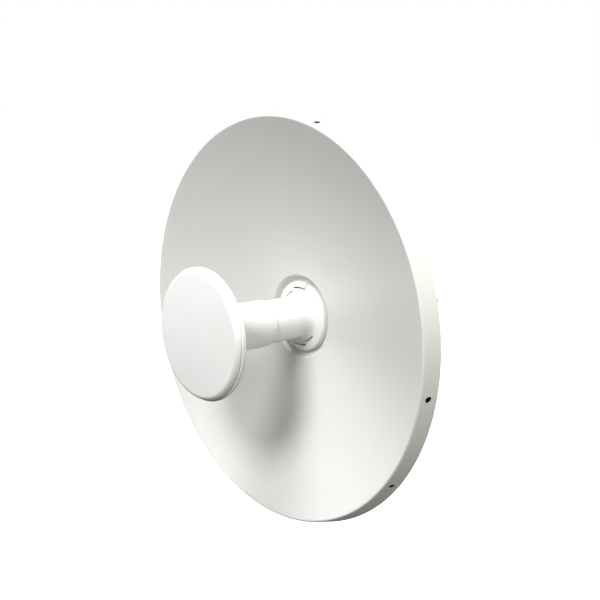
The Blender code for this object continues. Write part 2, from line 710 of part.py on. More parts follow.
def make_pole_bracket():
    web_back = WEB_DEPTH + BRACKET_THICK
    outer = BRACKET_EAR_INNER + BRACKET_THICK
    bracket = block("pole_bracket", (-outer, outer), (WEB_DEPTH, web_back),
                    (-WEB_HALF_HEIGHT, WEB_HALF_HEIGHT), "galvanised_steel")
    lock_depth = TILT_DEPTH - LOCK_RADIUS
    for side, name in ((-1, "left"), (1, "right")):
        ear = arc((lock_depth + 8, 0), EAR_HALF_HEIGHT + 4, 250, 110, 10)
        ear += [(WEB_DEPTH + 1, WEB_HALF_HEIGHT), (WEB_DEPTH + 1, -WEB_HALF_HEIGHT)]
        near, far = sorted((side * BRACKET_EAR_INNER, side * outer))
        join(bracket, prism(f"bracket_ear_{name}", ear, "X", near, far, smooth=False))
        slot = arc((TILT_DEPTH, 0), LOCK_RADIUS + 3.4, 180 - TILT_LIMIT - 2,
                   180 + TILT_LIMIT + 2, 8)
        slot += arc((TILT_DEPTH, 0), LOCK_RADIUS - 3.4, 180 + TILT_LIMIT + 2,
                    180 - TILT_LIMIT - 2, 8)
        slot_near, slot_far = near - 1, far + 1
        cut(bracket, prism(f"tilt_slot_{name}", slot, "X", slot_near, slot_far))
        for part in (-1, 1):
            end = math.radians(180 + part * (TILT_LIMIT + 2))
            centre = (TILT_DEPTH + LOCK_RADIUS * math.cos(end), LOCK_RADIUS * math.sin(end))
            cut(bracket, prism(f"slot_end_{name}_{part}", circle(centre, 3.4, 16), "X",
                               slot_near, slot_far))
    apex = POLE_DEPTH - POLE_RADIUS / math.sin(VEE_HALF_ANGLE)
    for z in (-WEB_HALF_HEIGHT + 6, WEB_HALF_HEIGHT - 6):
        join(bracket, prism("front_vee", vee_outline(apex, 1, web_back - 1), "Z",
                            z - BRACKET_THICK / 2, z + BRACKET_THICK / 2))
    drill(bracket, (0, TILT_DEPTH, 0), 4.3, "X", -60, 60)
    for x in (-CLAMP_BOLT_X, CLAMP_BOLT_X):
        drill(bracket, (x, 0, 0), 4.5, "Y", WEB_DEPTH - 1, web_back + 1)
    return bracket


def jaw_apex():
    return POLE_DEPTH + POLE_RADIUS / math.sin(VEE_HALF_ANGLE)


def make_clamp_jaw():
    front = jaw_apex() + 1
    jaw = block("clamp_jaw", (-48, 48), (front, front + BRACKET_THICK), (-31, 31),
                "galvanised_steel")
    for z in (-24.5, 24.5):
        join(jaw, prism("rear_vee", vee_outline(jaw_apex(), -1, front + 1), "Z",
                        z - BRACKET_THICK / 2, z + BRACKET_THICK / 2))
    for x in (-CLAMP_BOLT_X, CLAMP_BOLT_X):
        drill(jaw, (x, 0, 0), 4.5, "Y", front - 1, front + BRACKET_THICK + 1)
    return jaw


def make_clamp_hardware():
    jaw_back = jaw_apex() + 1 + BRACKET_THICK
    bolts, followers = [], []
    for side, name in ((-1, "left"), (1, "right")):
        x = side * CLAMP_BOLT_X
        head_seat = WEB_DEPTH - GAP
        bolts.append(headed_bolt(f"clamp_bolt_{name}", (x, head_seat, 0), "Y", 7.4, 3.6, 4.0,
                                 CLAMP_BOLT_END - head_seat, dome=0.35))
        followers.append(washer(f"clamp_washer_{name}", (x, jaw_back + GAP, 0), "Y", 8.5, 4.4,
                                1.6))
        seat = jaw_back + 1.6 + 2 * GAP
        followers.append(hex_nut(f"clamp_nut_{name}", "Y", (x, 0), seat, seat + 6.5, 13, 4.3))
    return bolts, followers


def make_tilt_hardware():
    outside = BRACKET_EAR_INNER + BRACKET_THICK + GAP
    pivot_bolt = headed_bolt("pivot_bolt", (-outside, TILT_DEPTH, 0), "X", 7.0, 5.0, 4.0,
                             2 * outside + 10, dome=0.15)
    pivot_nut = hex_nut("pivot_nut", "X", (TILT_DEPTH, 0), outside, outside + 6.5, 13, 4.3)
    locks = []
    depth = TILT_DEPTH - LOCK_RADIUS
    for side, name, axis in ((-1, "left", "-X"), (1, "right", "X")):
        head_seat = side * (EAR_INNER - GAP)
        locks.append(headed_bolt(f"lock_bolt_{name}", (head_seat, depth, 0), axis, 6.4, 3.0,
                                 3.0, 17.0, dome=0.35))
        locks.append(washer(f"lock_washer_{name}", (side * outside, depth, 0), axis, 7.0, 3.3,
                            1.4))
        near, far = sorted((side * (outside + 1.4 + GAP), side * (outside + 6.4 + GAP)))
        locks.append(hex_nut(f"lock_nut_{name}", "X", (depth, 0), near, far, 10, 3.3))
    return pivot_bolt, pivot_nut, locks


def build():
    make_pole_bracket()
    bolts, followers = make_clamp_hardware()
    pivot_bolt, pivot_nut, locks = make_tilt_hardware()

    tilt_axis = pivot("tilt_axis", 0, TILT_DEPTH, 0)
    dish = [make_reflector(), make_hub_plate(), make_housing_gasket(), make_rear_housing(),
            make_light_pipe(), make_cover_seal(), make_hinge_pin()]
    dish += make_rim_plugs() + make_hub_screws() + make_housing_screws()
    dish += make_ground_fixing() + locks
    mount_on(tilt_axis, dish)

    feed_axis = pivot("feed_axis", 0, CUP_FLOOR, 0)
    feed = [make_collar(), make_tube_seal(), make_feed_tube(), make_subreflector_shell(),
            make_radome_cap(), make_cap_seal(), make_subreflector_plate(),
            make_dielectric_post(), make_dipole_board(), make_board_carrier(),
            make_radio_board(), make_shield_can(), make_ethernet_jack(), make_reset_switch()]
    feed += make_board_screws()
    mount_on(feed_axis, feed)
    make_tabs()

    cover_axis = pivot("cover_axis", PORT_X, COVER_HINGE_DEPTH, COVER_HINGE_Z)
    mount_on(cover_axis, [make_port_cover(), make_cable_grommet()])
    make_reset_button()

    jaw_axis = pivot("jaw_axis", 0, jaw_apex(), 0)
    mount_on(jaw_axis, [make_clamp_jaw()] + followers)


clear_scene()
MATERIALS = {name: finish(name) for name in FINISHES}
build()
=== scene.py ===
import json
import math
import bmesh
import bpy
from mathutils import Matrix, Vector


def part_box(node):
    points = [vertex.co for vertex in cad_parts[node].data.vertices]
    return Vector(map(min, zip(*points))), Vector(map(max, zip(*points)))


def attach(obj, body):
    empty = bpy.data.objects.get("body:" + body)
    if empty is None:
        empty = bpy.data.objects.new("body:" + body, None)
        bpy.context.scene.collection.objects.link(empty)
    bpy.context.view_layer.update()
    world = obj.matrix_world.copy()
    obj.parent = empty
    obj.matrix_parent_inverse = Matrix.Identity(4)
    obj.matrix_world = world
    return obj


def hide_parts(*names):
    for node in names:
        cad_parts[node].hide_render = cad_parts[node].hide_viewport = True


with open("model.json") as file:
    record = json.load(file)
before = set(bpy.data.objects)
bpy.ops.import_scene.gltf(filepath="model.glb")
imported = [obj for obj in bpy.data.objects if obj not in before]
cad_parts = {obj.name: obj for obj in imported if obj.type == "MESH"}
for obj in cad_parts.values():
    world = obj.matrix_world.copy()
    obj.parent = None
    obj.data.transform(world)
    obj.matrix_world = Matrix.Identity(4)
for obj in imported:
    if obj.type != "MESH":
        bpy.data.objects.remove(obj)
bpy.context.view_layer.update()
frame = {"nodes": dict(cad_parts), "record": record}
scene = bpy.context.scene
slotOf = {part["node"]: part["material_slot"] for part in frame["record"]["subparts"]}
bodyOf = {}
for body, members in frame["record"]["behaviour"]["bodies"].items():
    bodyOf.update({node: body for node in members})

# lengths are in millimetres; depth runs backwards from the plane of the rim
poleDepth = 157.0


def place(x, depth, z):
    return Vector((x, depth - poleDepth, z)) / 1000


# camera, floor, backdrop and lights

viewpoint = {"from": (770.3, -638.1, 258.2), "forward": (-0.7315, 0.6424, -0.2285),
             "up": (-0.1881, 0.1319, 0.9733), "lens": 60.0}
studio = {"floorHeight": -0.75, "floorHalf": 12.0, "aim": (0.0, -0.15, 0.0)}
# light that comes from each side, as colours
roomLight = {"right": (0.28, 0.262, 0.235), "left": (0.03, 0.03, 0.03),
             "back": (0.36, 0.36, 0.35), "front": (0.08, 0.08, 0.075),
             "up": (0.03, 0.03, 0.03), "down": (0.20, 0.19, 0.185)}
# name: direction from the dish, distance, size, power, colour
softBoxes = {"overhead": ((0.0, -0.28, 0.96), 4.0, 2.2, 188.0, (1.0, 1.0, 0.99)),
             "keyLight": ((0.30, -0.70, 0.65), 4.0, 1.3, 118.0, (0.98, 1.0, 0.98)),
             "lowLeft": ((-0.85, -0.50, 0.0), 4.0, 2.2, 34.0, (0.98, 1.0, 1.0)),
             "rightBox": ((0.85, -0.25, 0.45), 4.0, 2.2, 22.0, (1.0, 0.97, 0.88)),
             "rightRear": ((0.80, 0.50, 0.20), 4.0, 2.2, 36.0, (1.0, 0.93, 0.86))}


def aimed(forward, up, origin):
    forward, up = Vector(forward).normalized(), Vector(up).normalized()
    right = forward.cross(up).normalized()
    up = right.cross(forward)
    turn = Matrix((right, up, -forward)).transposed().to_4x4()
    return Matrix.Translation(origin) @ turn


def addCamera():
    lens = bpy.data.cameras.new("viewCamera")
    lens.sensor_width = 36.0
    lens.lens = viewpoint["lens"]
    lens.clip_start = 0.01
    lens.clip_end = 60.0
    camera = bpy.data.objects.new("viewCamera", lens)
    scene.collection.objects.link(camera)
    camera.matrix_world = aimed(viewpoint["forward"], viewpoint["up"], place(*viewpoint["from"]))
    scene.camera = camera


def addSoftLight(name, power, origin, target, size, colour=(1.0, 1.0, 1.0)):
    lamp = bpy.data.lights.new(name, "AREA")
    lamp.shape = "DISK"
    lamp.size = size
    lamp.energy = power
    lamp.color = colour
    light = bpy.data.objects.new(name, lamp)
    scene.collection.objects.link(light)
    origin, target = Vector(origin), Vector(target)
    forward = target - origin
    helper = (0, 1, 0) if abs(forward.normalized().z) > 0.9 else (0, 0, 1)
    light.matrix_world = aimed(forward, helper, origin)


class Wire:
    # one socket of a node tree; arithmetic on it adds Math nodes
    def __init__(self, tree, socket=None):
        self.tree = tree
        self.socket = socket

    def node(self, kind, settings=None, values=None, out=0):
        made = self.tree.nodes.new(kind)
        for name, value in (settings or {}).items():
            if name == "stops":
                while len(made.color_ramp.elements) < len(value):
                    made.color_ramp.elements.new(1.0)
                for element, (position, colour) in zip(made.color_ramp.elements, value):
                    element.position = position
                    element.color = (*colour, 1.0) if len(colour) == 3 else colour
            else:
                setattr(made, name, value)
        for key, value in (values or {}).items():
            if isinstance(value, Wire):
                self.tree.links.new(value.socket, made.inputs[key])
            else:
                made.inputs[key].default_value = value
        return Wire(self.tree, made.outputs[out])

    def maths(self, operation, first, *others):
        values = dict(enumerate((first, *others)))
        return self.node("ShaderNodeMath", {"operation": operation}, values)

    def part(self, number):
        return self.node("ShaderNodeSeparateXYZ", None, {0: self}, out=number)

    def vector(self, x=0.0, y=0.0, z=0.0):
        return self.node("ShaderNodeCombineXYZ", None, {0: x, 1: y, 2: z})

    def __add__(self, other):
        return self.maths("ADD", self, other)

    def __radd__(self, other):
        return self.maths("ADD", other, self)

    def __sub__(self, other):
        return self.maths("SUBTRACT", self, other)

    def __rsub__(self, other):
        return self.maths("SUBTRACT", other, self)

    def __mul__(self, other):
        return self.maths("MULTIPLY", self, other)

    def __rmul__(self, other):
        return self.maths("MULTIPLY", other, self)

    def __truediv__(self, other):
        return self.maths("DIVIDE", self, other)

    def __pow__(self, other):
        return self.maths("POWER", self, other)

    def __gt__(self, other):
        return self.maths("GREATER_THAN", self, other)

    def __lt__(self, other):
        return self.maths("LESS_THAN", self, other)


def ease(value, low, high):
    # 0 below low, 1 above high, smooth between
    return value.node("ShaderNodeMapRange", {"interpolation_type": "SMOOTHSTEP"},
                      {0: value, 1: low, 2: high, 3: 0.0, 4: 1.0})


def blend(factor, first, second, mode="MIX"):
    return factor.node("ShaderNodeMix", {"data_type": "RGBA", "blend_type": mode},
                       {0: factor, 6: first, 7: second}, out=2)


def rgb(colour):
    return (*colour, 1.0)


def dressStudio():
    # the light from any direction blends the six sides by the squares of its parts
    world = bpy.data.worlds.new("softRoom")
    scene.world = world
    world.use_nodes = True
    tree = world.node_tree
    start = Wire(tree)
    direction = start.node("ShaderNodeTexCoord", out="Generated")
    total = None
    for part, (high, low) in enumerate((("right", "left"), ("back", "front"), ("up", "down"))):
        reach = direction.part(part)
        side = blend(reach > 0.0, rgb(roomLight[low]), rgb(roomLight[high]))
        share = side.node("ShaderNodeVectorMath", {"operation": "SCALE"},
                          {0: side, "Scale": reach * reach})
        total = share if total is None else start.node(
            "ShaderNodeVectorMath", {"operation": "ADD"}, {0: total, 1: share})
    seen = start.node("ShaderNodeLightPath", out="Is Camera Ray")
    final = blend(seen, total, (1.0, 1.0, 1.0, 1.0))
    tree.links.new(final.socket, tree.nodes["Background"].inputs["Color"])

    floor = bpy.data.meshes.new("paleFloor")
    half, low = studio["floorHalf"], studio["floorHeight"]
    floor.from_pydata([(-half, -half, low), (half, -half, low), (half, half, low),
                       (-half, half, low)], [], [(0, 1, 2, 3)])
    ground = bpy.data.objects.new("paleFloor", floor)
    scene.collection.objects.link(ground)
    paint = bpy.data.materials.new("palePaint")
    paint.use_nodes = True
    coat = paint.node_tree.nodes["Principled BSDF"]
    coat.inputs["Base Color"].default_value = (0.9, 0.9, 0.9, 1.0)
    coat.inputs["Roughness"].default_value = 0.9
    coat.inputs["Emission Color"].default_value = (1.0, 1.0, 1.0, 1.0)
    coat.inputs["Emission Strength"].default_value = 1.0
    floor.materials.append(paint)
    ground.visible_diffuse = False
    ground.visible_glossy = False
    aim = Vector(studio["aim"])
    for name, (direction, reach, size, power, colour) in softBoxes.items():
        addSoftLight(name, power, aim + Vector(direction).normalized() * reach, aim, size,
                     colour)
    scene.view_settings.view_transform = "Standard"


addCamera()
dressStudio()
print("camera, floor and lights placed")


# finishes; each starts from one dictionary of constants and adds what varies


def startFinish(name, colour, roughness, **constants):
    finish = bpy.data.materials.new(name)
    finish.use_nodes = True
    shader = finish.node_tree.nodes["Principled BSDF"]
    shader.inputs["Base Color"].default_value = rgb(colour)
    shader.inputs["Roughness"].default_value = roughness
    for label, value in constants.items():
        shader.inputs[label.replace("_", " ")].default_value = value
    coords = Wire(finish.node_tree).node("ShaderNodeTexCoord", out="Object")
    return finish, shader, coords


def feed(finish, shader, colour=None, roughness=None, metallic=None, height=None, depth=0.1,
         strength=1.0):
    # height is a relief of 0..1 whose full step is depth millimetres
    links = finish.node_tree.links
    for label, wire in (("Base Color", colour), ("Roughness", roughness),
                        ("Metallic", metallic)):
        if wire is not None:
            links.new(wire.socket, shader.inputs[label])
    if height is not None:
        bump = height.node("ShaderNodeBump", None, {"Strength": strength,
                           "Distance": depth / 1000, "Height": height})
        links.new(bump.socket, shader.inputs["Normal"])
    return finish


def noise(coords, size, detail=2.0, roughness=0.5):
    # grains about size millimetres across
    return coords.node("ShaderNodeTexNoise", None, {"Vector": coords, "Scale": 1000.0 / size,
                       "Detail": detail, "Roughness": roughness})


def stretched(coords, x, y, z):
    return coords.node("ShaderNodeMapping", None, {"Vector": coords, "Scale": (x, y, z)})


def cells(coords, size, out="Color", feature="F1"):
    return coords.node("ShaderNodeTexVoronoi", {"feature": feature},
                       {"Vector": coords, "Scale": 1000.0 / size}, out=out)


def axisRadius(coords):
    # distance from the dish's axis
    x, z = coords.part(0), coords.part(2)
    return (x * x + z * z) ** 0.5


powder = {"colour": (0.70, 0.717, 0.694), "worn": (0.67, 0.676, 0.656), "roughness": 0.40,
          "peelSize": 1.3, "peelDepth": 0.010, "spinPitch": 2.6}


def powderCoat():
    finish, shader, coords = startFinish("whitePowderCoat", powder["colour"], powder["roughness"],
                                        Specular_IOR_Level=0.42)
    radius = axisRadius(coords)
    cloud = noise(coords, 60.0, 3.0)
    peel = noise(coords, powder["peelSize"], 2.0)
    grit = noise(coords, 0.35, 1.0)
    rings = coords.maths("SINE", radius * (2000 * math.pi / powder["spinPitch"]) + cloud * 3.0)
    speck = ease(noise(coords, 5.0, 4.0, 0.7), 0.735, 0.80)
    tint = blend(cloud, rgb(powder["colour"]), rgb(powder["worn"]))
    tint = blend(speck * 0.25, tint, (0.62, 0.60, 0.55, 1.0))
    return feed(finish, shader, tint, powder["roughness"] + cloud * 0.09 - 0.045 + grit * 0.04,
                None, peel * 0.75 + grit * 0.1 + rings * 0.06, powder["peelDepth"])


def mouldedPlastic(name, colour, shade, roughness, grainSize, grainDepth, **constants):
    # an injection moulding: pebbled skin, faint flow clouds and dust in the hollows
    finish, shader, coords = startFinish(name, colour, roughness, **constants)
    pebble = cells(coords, grainSize, out="Distance", feature="SMOOTH_F1")
    cloud = noise(coords, 35.0, 3.0)
    fine = noise(coords, grainSize * 0.4, 2.0)
    dust = ease(noise(coords, 4.0, 5.0, 0.65), 0.62, 0.78)
    tint = blend(cloud, rgb(colour), rgb(shade))
    tint = blend(dust * 0.12, tint, rgb([part * 0.72 for part in shade]))
    return feed(finish, shader, tint, roughness + cloud * 0.08 - 0.04 + dust * 0.05, None,
                pebble * 0.7 + fine * 0.3, grainDepth)


def glossPlastic():
    finish, shader, coords = startFinish("whiteGlossPlastic", (0.83, 0.85, 0.83), 0.16,
                                        Coat_Weight=0.35, Coat_Roughness=0.08)
    flow = noise(stretched(coords, 1.0, 0.25, 1.0), 9.0, 3.0)
    fine = noise(coords, 0.5, 2.0)
    cloud = noise(coords, 22.0, 2.0)
    tint = blend(cloud, (0.84, 0.858, 0.842, 1.0), (0.80, 0.818, 0.80, 1.0))
    return feed(finish, shader, tint, 0.13 + cloud * 0.10 + fine * 0.02, None, flow * 0.9 + fine * 0.1,
                0.02)


def softRubber():
    finish, shader, coords = startFinish("blackRubber", (0.022, 0.022, 0.023), 0.78,
                                        Specular_IOR_Level=0.35)
    bloom = ease(noise(coords, 7.0, 5.0, 0.6), 0.45, 0.85)
    grain = noise(coords, 0.6, 3.0)
    tint = blend(bloom * 0.6, (0.018, 0.018, 0.019, 1.0), (0.075, 0.073, 0.07, 1.0))
    return feed(finish, shader, tint, 0.66 + bloom * 0.22, None, grain, 0.04)


def castAlloy():
    finish, shader, coords = startFinish("castAluminium", (0.56, 0.57, 0.575), 0.5, Metallic=0.9)
    sand = noise(coords, 0.9, 4.0, 0.6)
    cloud = noise(coords, 16.0, 4.0)
    # convex edges, found by pointiness, are lightened and made glossier: partly rubbed wear, partly a
    # painted highlight
    edge = coords.node("ShaderNodeNewGeometry", out="Pointiness")
    edgeWearAndHighlight = ease(edge, 0.52, 0.60)
    tint = blend(cloud, (0.47, 0.475, 0.48, 1.0), (0.62, 0.625, 0.63, 1.0))
    tint = blend(edgeWearAndHighlight * 0.6, tint, (0.80, 0.80, 0.80, 1.0))
    return feed(finish, shader, tint, 0.44 + cloud * 0.20 - edgeWearAndHighlight * 0.12, None, sand, 0.07)


def galvanised():
    # hot-dip zinc: spangles a centimetre across, dull oxide, and convex edges lightened partly as
    # rubbed wear and partly as a painted highlight
    finish, shader, coords = startFinish("galvanisedSteel", (0.58, 0.59, 0.60), 0.42,
                                        Metallic=0.85)
    warp = noise(coords, 12.0, 2.0)
    push = coords.node("ShaderNodeVectorMath", {"operation": "SCALE"},
                       {0: coords.vector(warp, warp, warp), "Scale": 0.004})
    bent = coords.node("ShaderNodeVectorMath", {"operation": "ADD"}, {0: coords, 1: push})
    spangle = cells(bent, 8.0)
    shade = spangle.part(0)
    border = ease(cells(bent, 8.0, "Distance", "DISTANCE_TO_EDGE"), 0.0, 0.05)
    oxide = ease(noise(coords, 26.0, 5.0, 0.62), 0.48, 0.72)
    feather = noise(stretched(coords, 1.0, 1.0, 4.0), 2.2, 4.0)
    # convex edges, found by pointiness, are lightened: partly rubbed wear, partly a painted highlight
    edgeWearAndHighlight = ease(coords.node("ShaderNodeNewGeometry", out="Pointiness"), 0.52, 0.60)
    tint = blend(shade, (0.46, 0.475, 0.49, 1.0), (0.66, 0.67, 0.68, 1.0))
    tint = blend(oxide * 0.55, tint, (0.66, 0.665, 0.66, 1.0))
    tint = blend(edgeWearAndHighlight * 0.5, tint, (0.80, 0.80, 0.80, 1.0))
    return feed(finish, shader, tint, 0.30 + shade * 0.16 + oxide * 0.20 + feather * 0.06,
                0.92 - oxide * 0.35, border * 0.4 + feather * 0.3 + shade * 0.3, 0.03)


def brightSteel(name, colour, roughness):
    # turned or drawn stainless, with fine tool lines and handling scratches
    finish, shader, coords = startFinish(name, colour, roughness, Metallic=1.0)
    lines = noise(stretched(coords, 1.0, 0.12, 1.0), 0.18, 2.0)
    cloud = noise(coords, 6.0, 4.0)
    scratch = ease(noise(stretched(coords, 0.3, 4.0, 1.0), 0.9, 2.0), 0.66, 0.72)
    dull = [part * 0.74 for part in colour]
    tint = blend(cloud, rgb(colour), rgb(dull))
    return feed(finish, shader, tint, roughness - 0.06 + cloud * 0.16 + scratch * 0.12, None,
                lines * 0.6 + scratch * 0.4, 0.008)


def spunAlloy():
    finish, shader, coords = startFinish("spunAluminium", (0.78, 0.78, 0.79), 0.3, Metallic=1.0)
    radius = axisRadius(coords)
    groove = coords.maths("SINE", radius * (2000 * math.pi / 0.7))
    cloud = noise(coords, 14.0, 3.0)
    return feed(finish, shader, blend(cloud, (0.80, 0.80, 0.81, 1.0), (0.68, 0.69, 0.70, 1.0)),
                0.24 + cloud * 0.12, None, groove * 0.5 + 0.5, 0.012)


def circuitLaminate():
    # green solder mask over copper tracks, with a band of bare gold pads
    finish, shader, coords = startFinish("circuitBoard", (0.015, 0.14, 0.07), 0.35,
                                        Coat_Weight=0.25, Coat_Roughness=0.15)
    tracks = coords.node("ShaderNodeTexBrick", {"offset": 0.37},
                         {"Vector": coords.vector(coords.part(1), coords.part(2)),
                          "Scale": 160.0, "Mortar Size": 0.055, "Mortar Smooth": 0.1,
                          "Brick Width": 1.6, "Row Height": 0.28}, out="Fac")
    weave = noise(coords, 0.4, 2.0)
    via = ease(cells(coords, 3.1, "Distance"), 0.13, 0.10)
    cloud = noise(coords, 9.0, 3.0)
    tint = blend(cloud, (0.012, 0.13, 0.062, 1.0), (0.018, 0.17, 0.085, 1.0))
    tint = blend(tracks * 0.7, tint, (0.035, 0.27, 0.13, 1.0))
    tint = blend(via, tint, (0.75, 0.62, 0.30, 1.0))
    return feed(finish, shader, tint, 0.30 + cloud * 0.10 + tracks * 0.05, via * 0.9,
                tracks * 0.6 + via * 0.3 + weave * 0.1, 0.035)


def mottledTin():
    finish, shader, coords = startFinish("tinnedSteel", (0.68, 0.68, 0.67), 0.3, Metallic=1.0)
    bloom = noise(coords, 3.0, 4.0, 0.6)
    roll = noise(stretched(coords, 1.0, 0.08, 1.0), 0.3, 2.0)
    return feed(finish, shader, blend(bloom, (0.74, 0.74, 0.72, 1.0), (0.58, 0.58, 0.58, 1.0)),
                0.22 + bloom * 0.22, None, roll * 0.5 + bloom * 0.5, 0.01)


def clearPlastic():
    finish, shader, coords = startFinish("clearPlastic", (0.85, 0.92, 0.92), 0.08,
                                        Transmission_Weight=0.85, IOR=1.49)
    swirl = noise(coords, 2.0, 3.0)
    return feed(finish, shader, None, 0.05 + swirl * 0.12, None, swirl, 0.01)


finishes = {
    "white_powder_coat": powderCoat(),
    "white_satin_plastic": mouldedPlastic("whiteSatinPlastic", (0.86, 0.865, 0.86),
                                          (0.82, 0.815, 0.805), 0.36, 0.55, 0.010),
    "white_gloss_plastic": glossPlastic(),
    "grey_plastic": mouldedPlastic("greyPlastic", (0.62, 0.635, 0.63), (0.56, 0.57, 0.56), 0.46,
                                   0.8, 0.035),
    "black_plastic": mouldedPlastic("blackPlastic", (0.028, 0.028, 0.03), (0.045, 0.045, 0.046),
                                    0.5, 0.7, 0.03),
    "clear_plastic": clearPlastic(),
    "black_rubber": softRubber(),
    "cast_aluminium": castAlloy(),
    "galvanised_steel": galvanised(),
    "stainless_steel": brightSteel("stainlessSteel", (0.66, 0.655, 0.64), 0.27),
    "spun_aluminium": spunAlloy(),
    "tinned_steel": mottledTin(),
    "circuit_board": circuitLaminate(),
    "white_ptfe": mouldedPlastic("whiteFluoropolymer", (0.87, 0.87, 0.85), (0.82, 0.82, 0.80),
                                 0.5, 1.2, 0.02),
}
for node, cadObject in frame["nodes"].items():
    cadObject.data.materials.clear()
    cadObject.data.materials.append(finishes[slotOf[node]])
print("finishes made:", len(finishes))


# making and placing meshes


def finishMesh(bm, name, sharp=40.0):
    bmesh.ops.remove_doubles(bm, verts=bm.verts, dist=1e-6)
    bmesh.ops.recalc_face_normals(bm, faces=bm.faces)
    mesh = bpy.data.meshes.new(name)
    bm.to_mesh(mesh)
    bm.free()
    smoothEdges(mesh, sharp)
    return mesh


def smoothEdges(mesh, sharp=40.0):
    mesh.shade_smooth()
    mesh.set_sharp_from_angle(angle=math.radians(sharp))


def tempObject(mesh):
    thing = bpy.data.objects.new(mesh.name + "Work", mesh)
    scene.collection.objects.link(thing)
    return thing


def settled(thing):
    # the mesh that its modifiers make, with the working object removed
    graph = bpy.context.evaluated_depsgraph_get()
    mesh = bpy.data.meshes.new_from_object(thing.evaluated_get(graph))
    bpy.data.objects.remove(thing)
    return mesh


def carved(mesh, tools, operation="DIFFERENCE"):
    bm = bmesh.new()
    for tool in tools:
        bm.from_mesh(tool)
    cutter = bpy.data.meshes.new("cutter")
    bm.to_mesh(cutter)
    bm.free()
    thing, other = tempObject(mesh), tempObject(cutter)
    modifier = thing.modifiers.new("cut", "BOOLEAN")
    modifier.operation = operation
    modifier.solver = "EXACT"
    modifier.object = other
    made = settled(thing)
    bpy.data.objects.remove(other)
    return made


def bevelled(mesh, width, segments=2, angle=32.0):
    thing = tempObject(mesh)
    modifier = thing.modifiers.new("edges", "BEVEL")
    modifier.width = width / 1000
    modifier.segments = segments
    modifier.limit_method = "ANGLE"
    modifier.angle_limit = math.radians(angle)
    return settled(thing)


def merged(meshes, name):
    bm = bmesh.new()
    for mesh in meshes:
        bm.from_mesh(mesh)
    whole = bpy.data.meshes.new(name)
    bm.to_mesh(whole)
    bm.free()
    return whole


def addPiece(name, mesh, nodes, sharp=40.0, body=None, slot=None):
    # stands for the CAD nodes, on the body and in the finish of the first of them
    slot = slot or slotOf[nodes[0]]
    mesh.name = name
    mesh.materials.clear()
    mesh.materials.append(finishes[slot])
    smoothEdges(mesh, sharp)
    piece = bpy.data.objects.new(name, mesh)
    scene.collection.objects.link(piece)
    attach(piece, body or bodyOf[nodes[0]])
    if nodes:
        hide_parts(*nodes)
    return piece


def softCorners(outline, steps=4):
    # each point is (a, b, rounding); a rounded corner becomes a short curve
    points = []
    count = len(outline)
    for number, (a, b, *rest) in enumerate(outline):
        rounding = rest[0] if rest else 0.0
        if rounding == 0.0:
            points.append((a, b))
            continue
        here = Vector((a, b))
        before = Vector(outline[number - 1][:2]) - here
        after = Vector(outline[(number + 1) % count][:2]) - here
        start = here + before.normalized() * min(rounding, before.length * 0.48)
        end = here + after.normalized() * min(rounding, after.length * 0.48)
        for step in range(steps + 1):
            t = step / steps
            curve = start * (1 - t) ** 2 + here * 2 * t * (1 - t) + end * t ** 2
            points.append(tuple(curve))
    return points


sideways = {"X": (Vector((1, 0, 0)), Vector((0, 1, 0)), Vector((0, 0, 1))),
            "Y": (Vector((0, 1, 0)), Vector((1, 0, 0)), Vector((0, 0, 1))),
            "Z": (Vector((0, 0, 1)), Vector((1, 0, 0)), Vector((0, 1, 0)))}


def turned(name, outline, segments=64, centre=(0, 0, 0), axis="Y", steps=4):
    # spin a closed outline of (radius, distance, rounding) round an axis
    along, side, up = sideways[axis]
    bm = bmesh.new()
    rings = []
    for radius, distance in softCorners(outline, steps):
        if radius <= 1e-6:
            rings.append([bm.verts.new(along * distance / 1000)] * segments)
            continue
        angles = [2 * math.pi * step / segments for step in range(segments)]
        rings.append([bm.verts.new((along * distance + (side * math.cos(angle)
                      + up * math.sin(angle)) * radius) / 1000) for angle in angles])
    for ring, other in zip(rings, rings[1:] + rings[:1]):
        bridge(bm, ring, other)
    bmesh.ops.translate(bm, verts=bm.verts, vec=place(*centre))
    return finishMesh(bm, name)


def bridge(bm, ring, other):
    # faces from one closed loop to the next, leaving out doubled corners
    for number, corner in enumerate(ring):
        after = (number + 1) % len(ring)
        corners = list(dict.fromkeys((corner, ring[after], other[after], other[number])))
        if len(corners) > 2:
            bm.faces.new(corners)


def onPlane(axis, a, b, along):
    # (a, b) are (x, z) for axis Y, (depth, z) for X and (x, depth) for Z
    return place(*{"X": (along, a, b), "Y": (a, along, b), "Z": (a, b, along)}[axis])


def prism(name, outline, axis, start, end, steps=4):
    points = softCorners(outline, steps)
    bm = bmesh.new()
    near, far = [[bm.verts.new(onPlane(axis, a, b, along)) for a, b in points]
                 for along in (start, end)]
    bm.faces.new(near)
    bm.faces.new(far)
    bridge(bm, near, far)
    return finishMesh(bm, name)


def ringPrism(name, outer, inner, axis, start, end, steps=6):
    # the band between two outlines with the same number of points
    first, second = softCorners(outer, steps), softCorners(inner, steps)
    bm = bmesh.new()
    loops = [[bm.verts.new(onPlane(axis, a, b, along)) for a, b in outline] for outline, along
             in ((first, start), (first, end), (second, end), (second, start))]
    for loop, other in zip(loops, loops[1:] + loops[:1]):
        bridge(bm, loop, other)
    return finishMesh(bm, name)


def roundedBox(left, right, low, high, rounding=0.0):
    return [(left, low, rounding), (right, low, rounding), (right, high, rounding),
            (left, high, rounding)]


def arcPoints(centre, radius, start, end, steps):
    angles = [math.radians(start + (end - start) * step / steps) for step in range(steps + 1)]
    return [(centre[0] + radius * math.cos(angle), centre[1] + radius * math.sin(angle))
            for angle in angles]


def block(name, xs, depths, zs):
    return prism(name, roundedBox(*xs, *zs), "Y", *depths)


def rod(name, centre, radius, axis, start, end, segments=24):
    outline = [(0, start), (radius, start), (radius, end), (0, end)]
    return turned(name, outline, segments, centre, axis)


# trees of geometry nodes


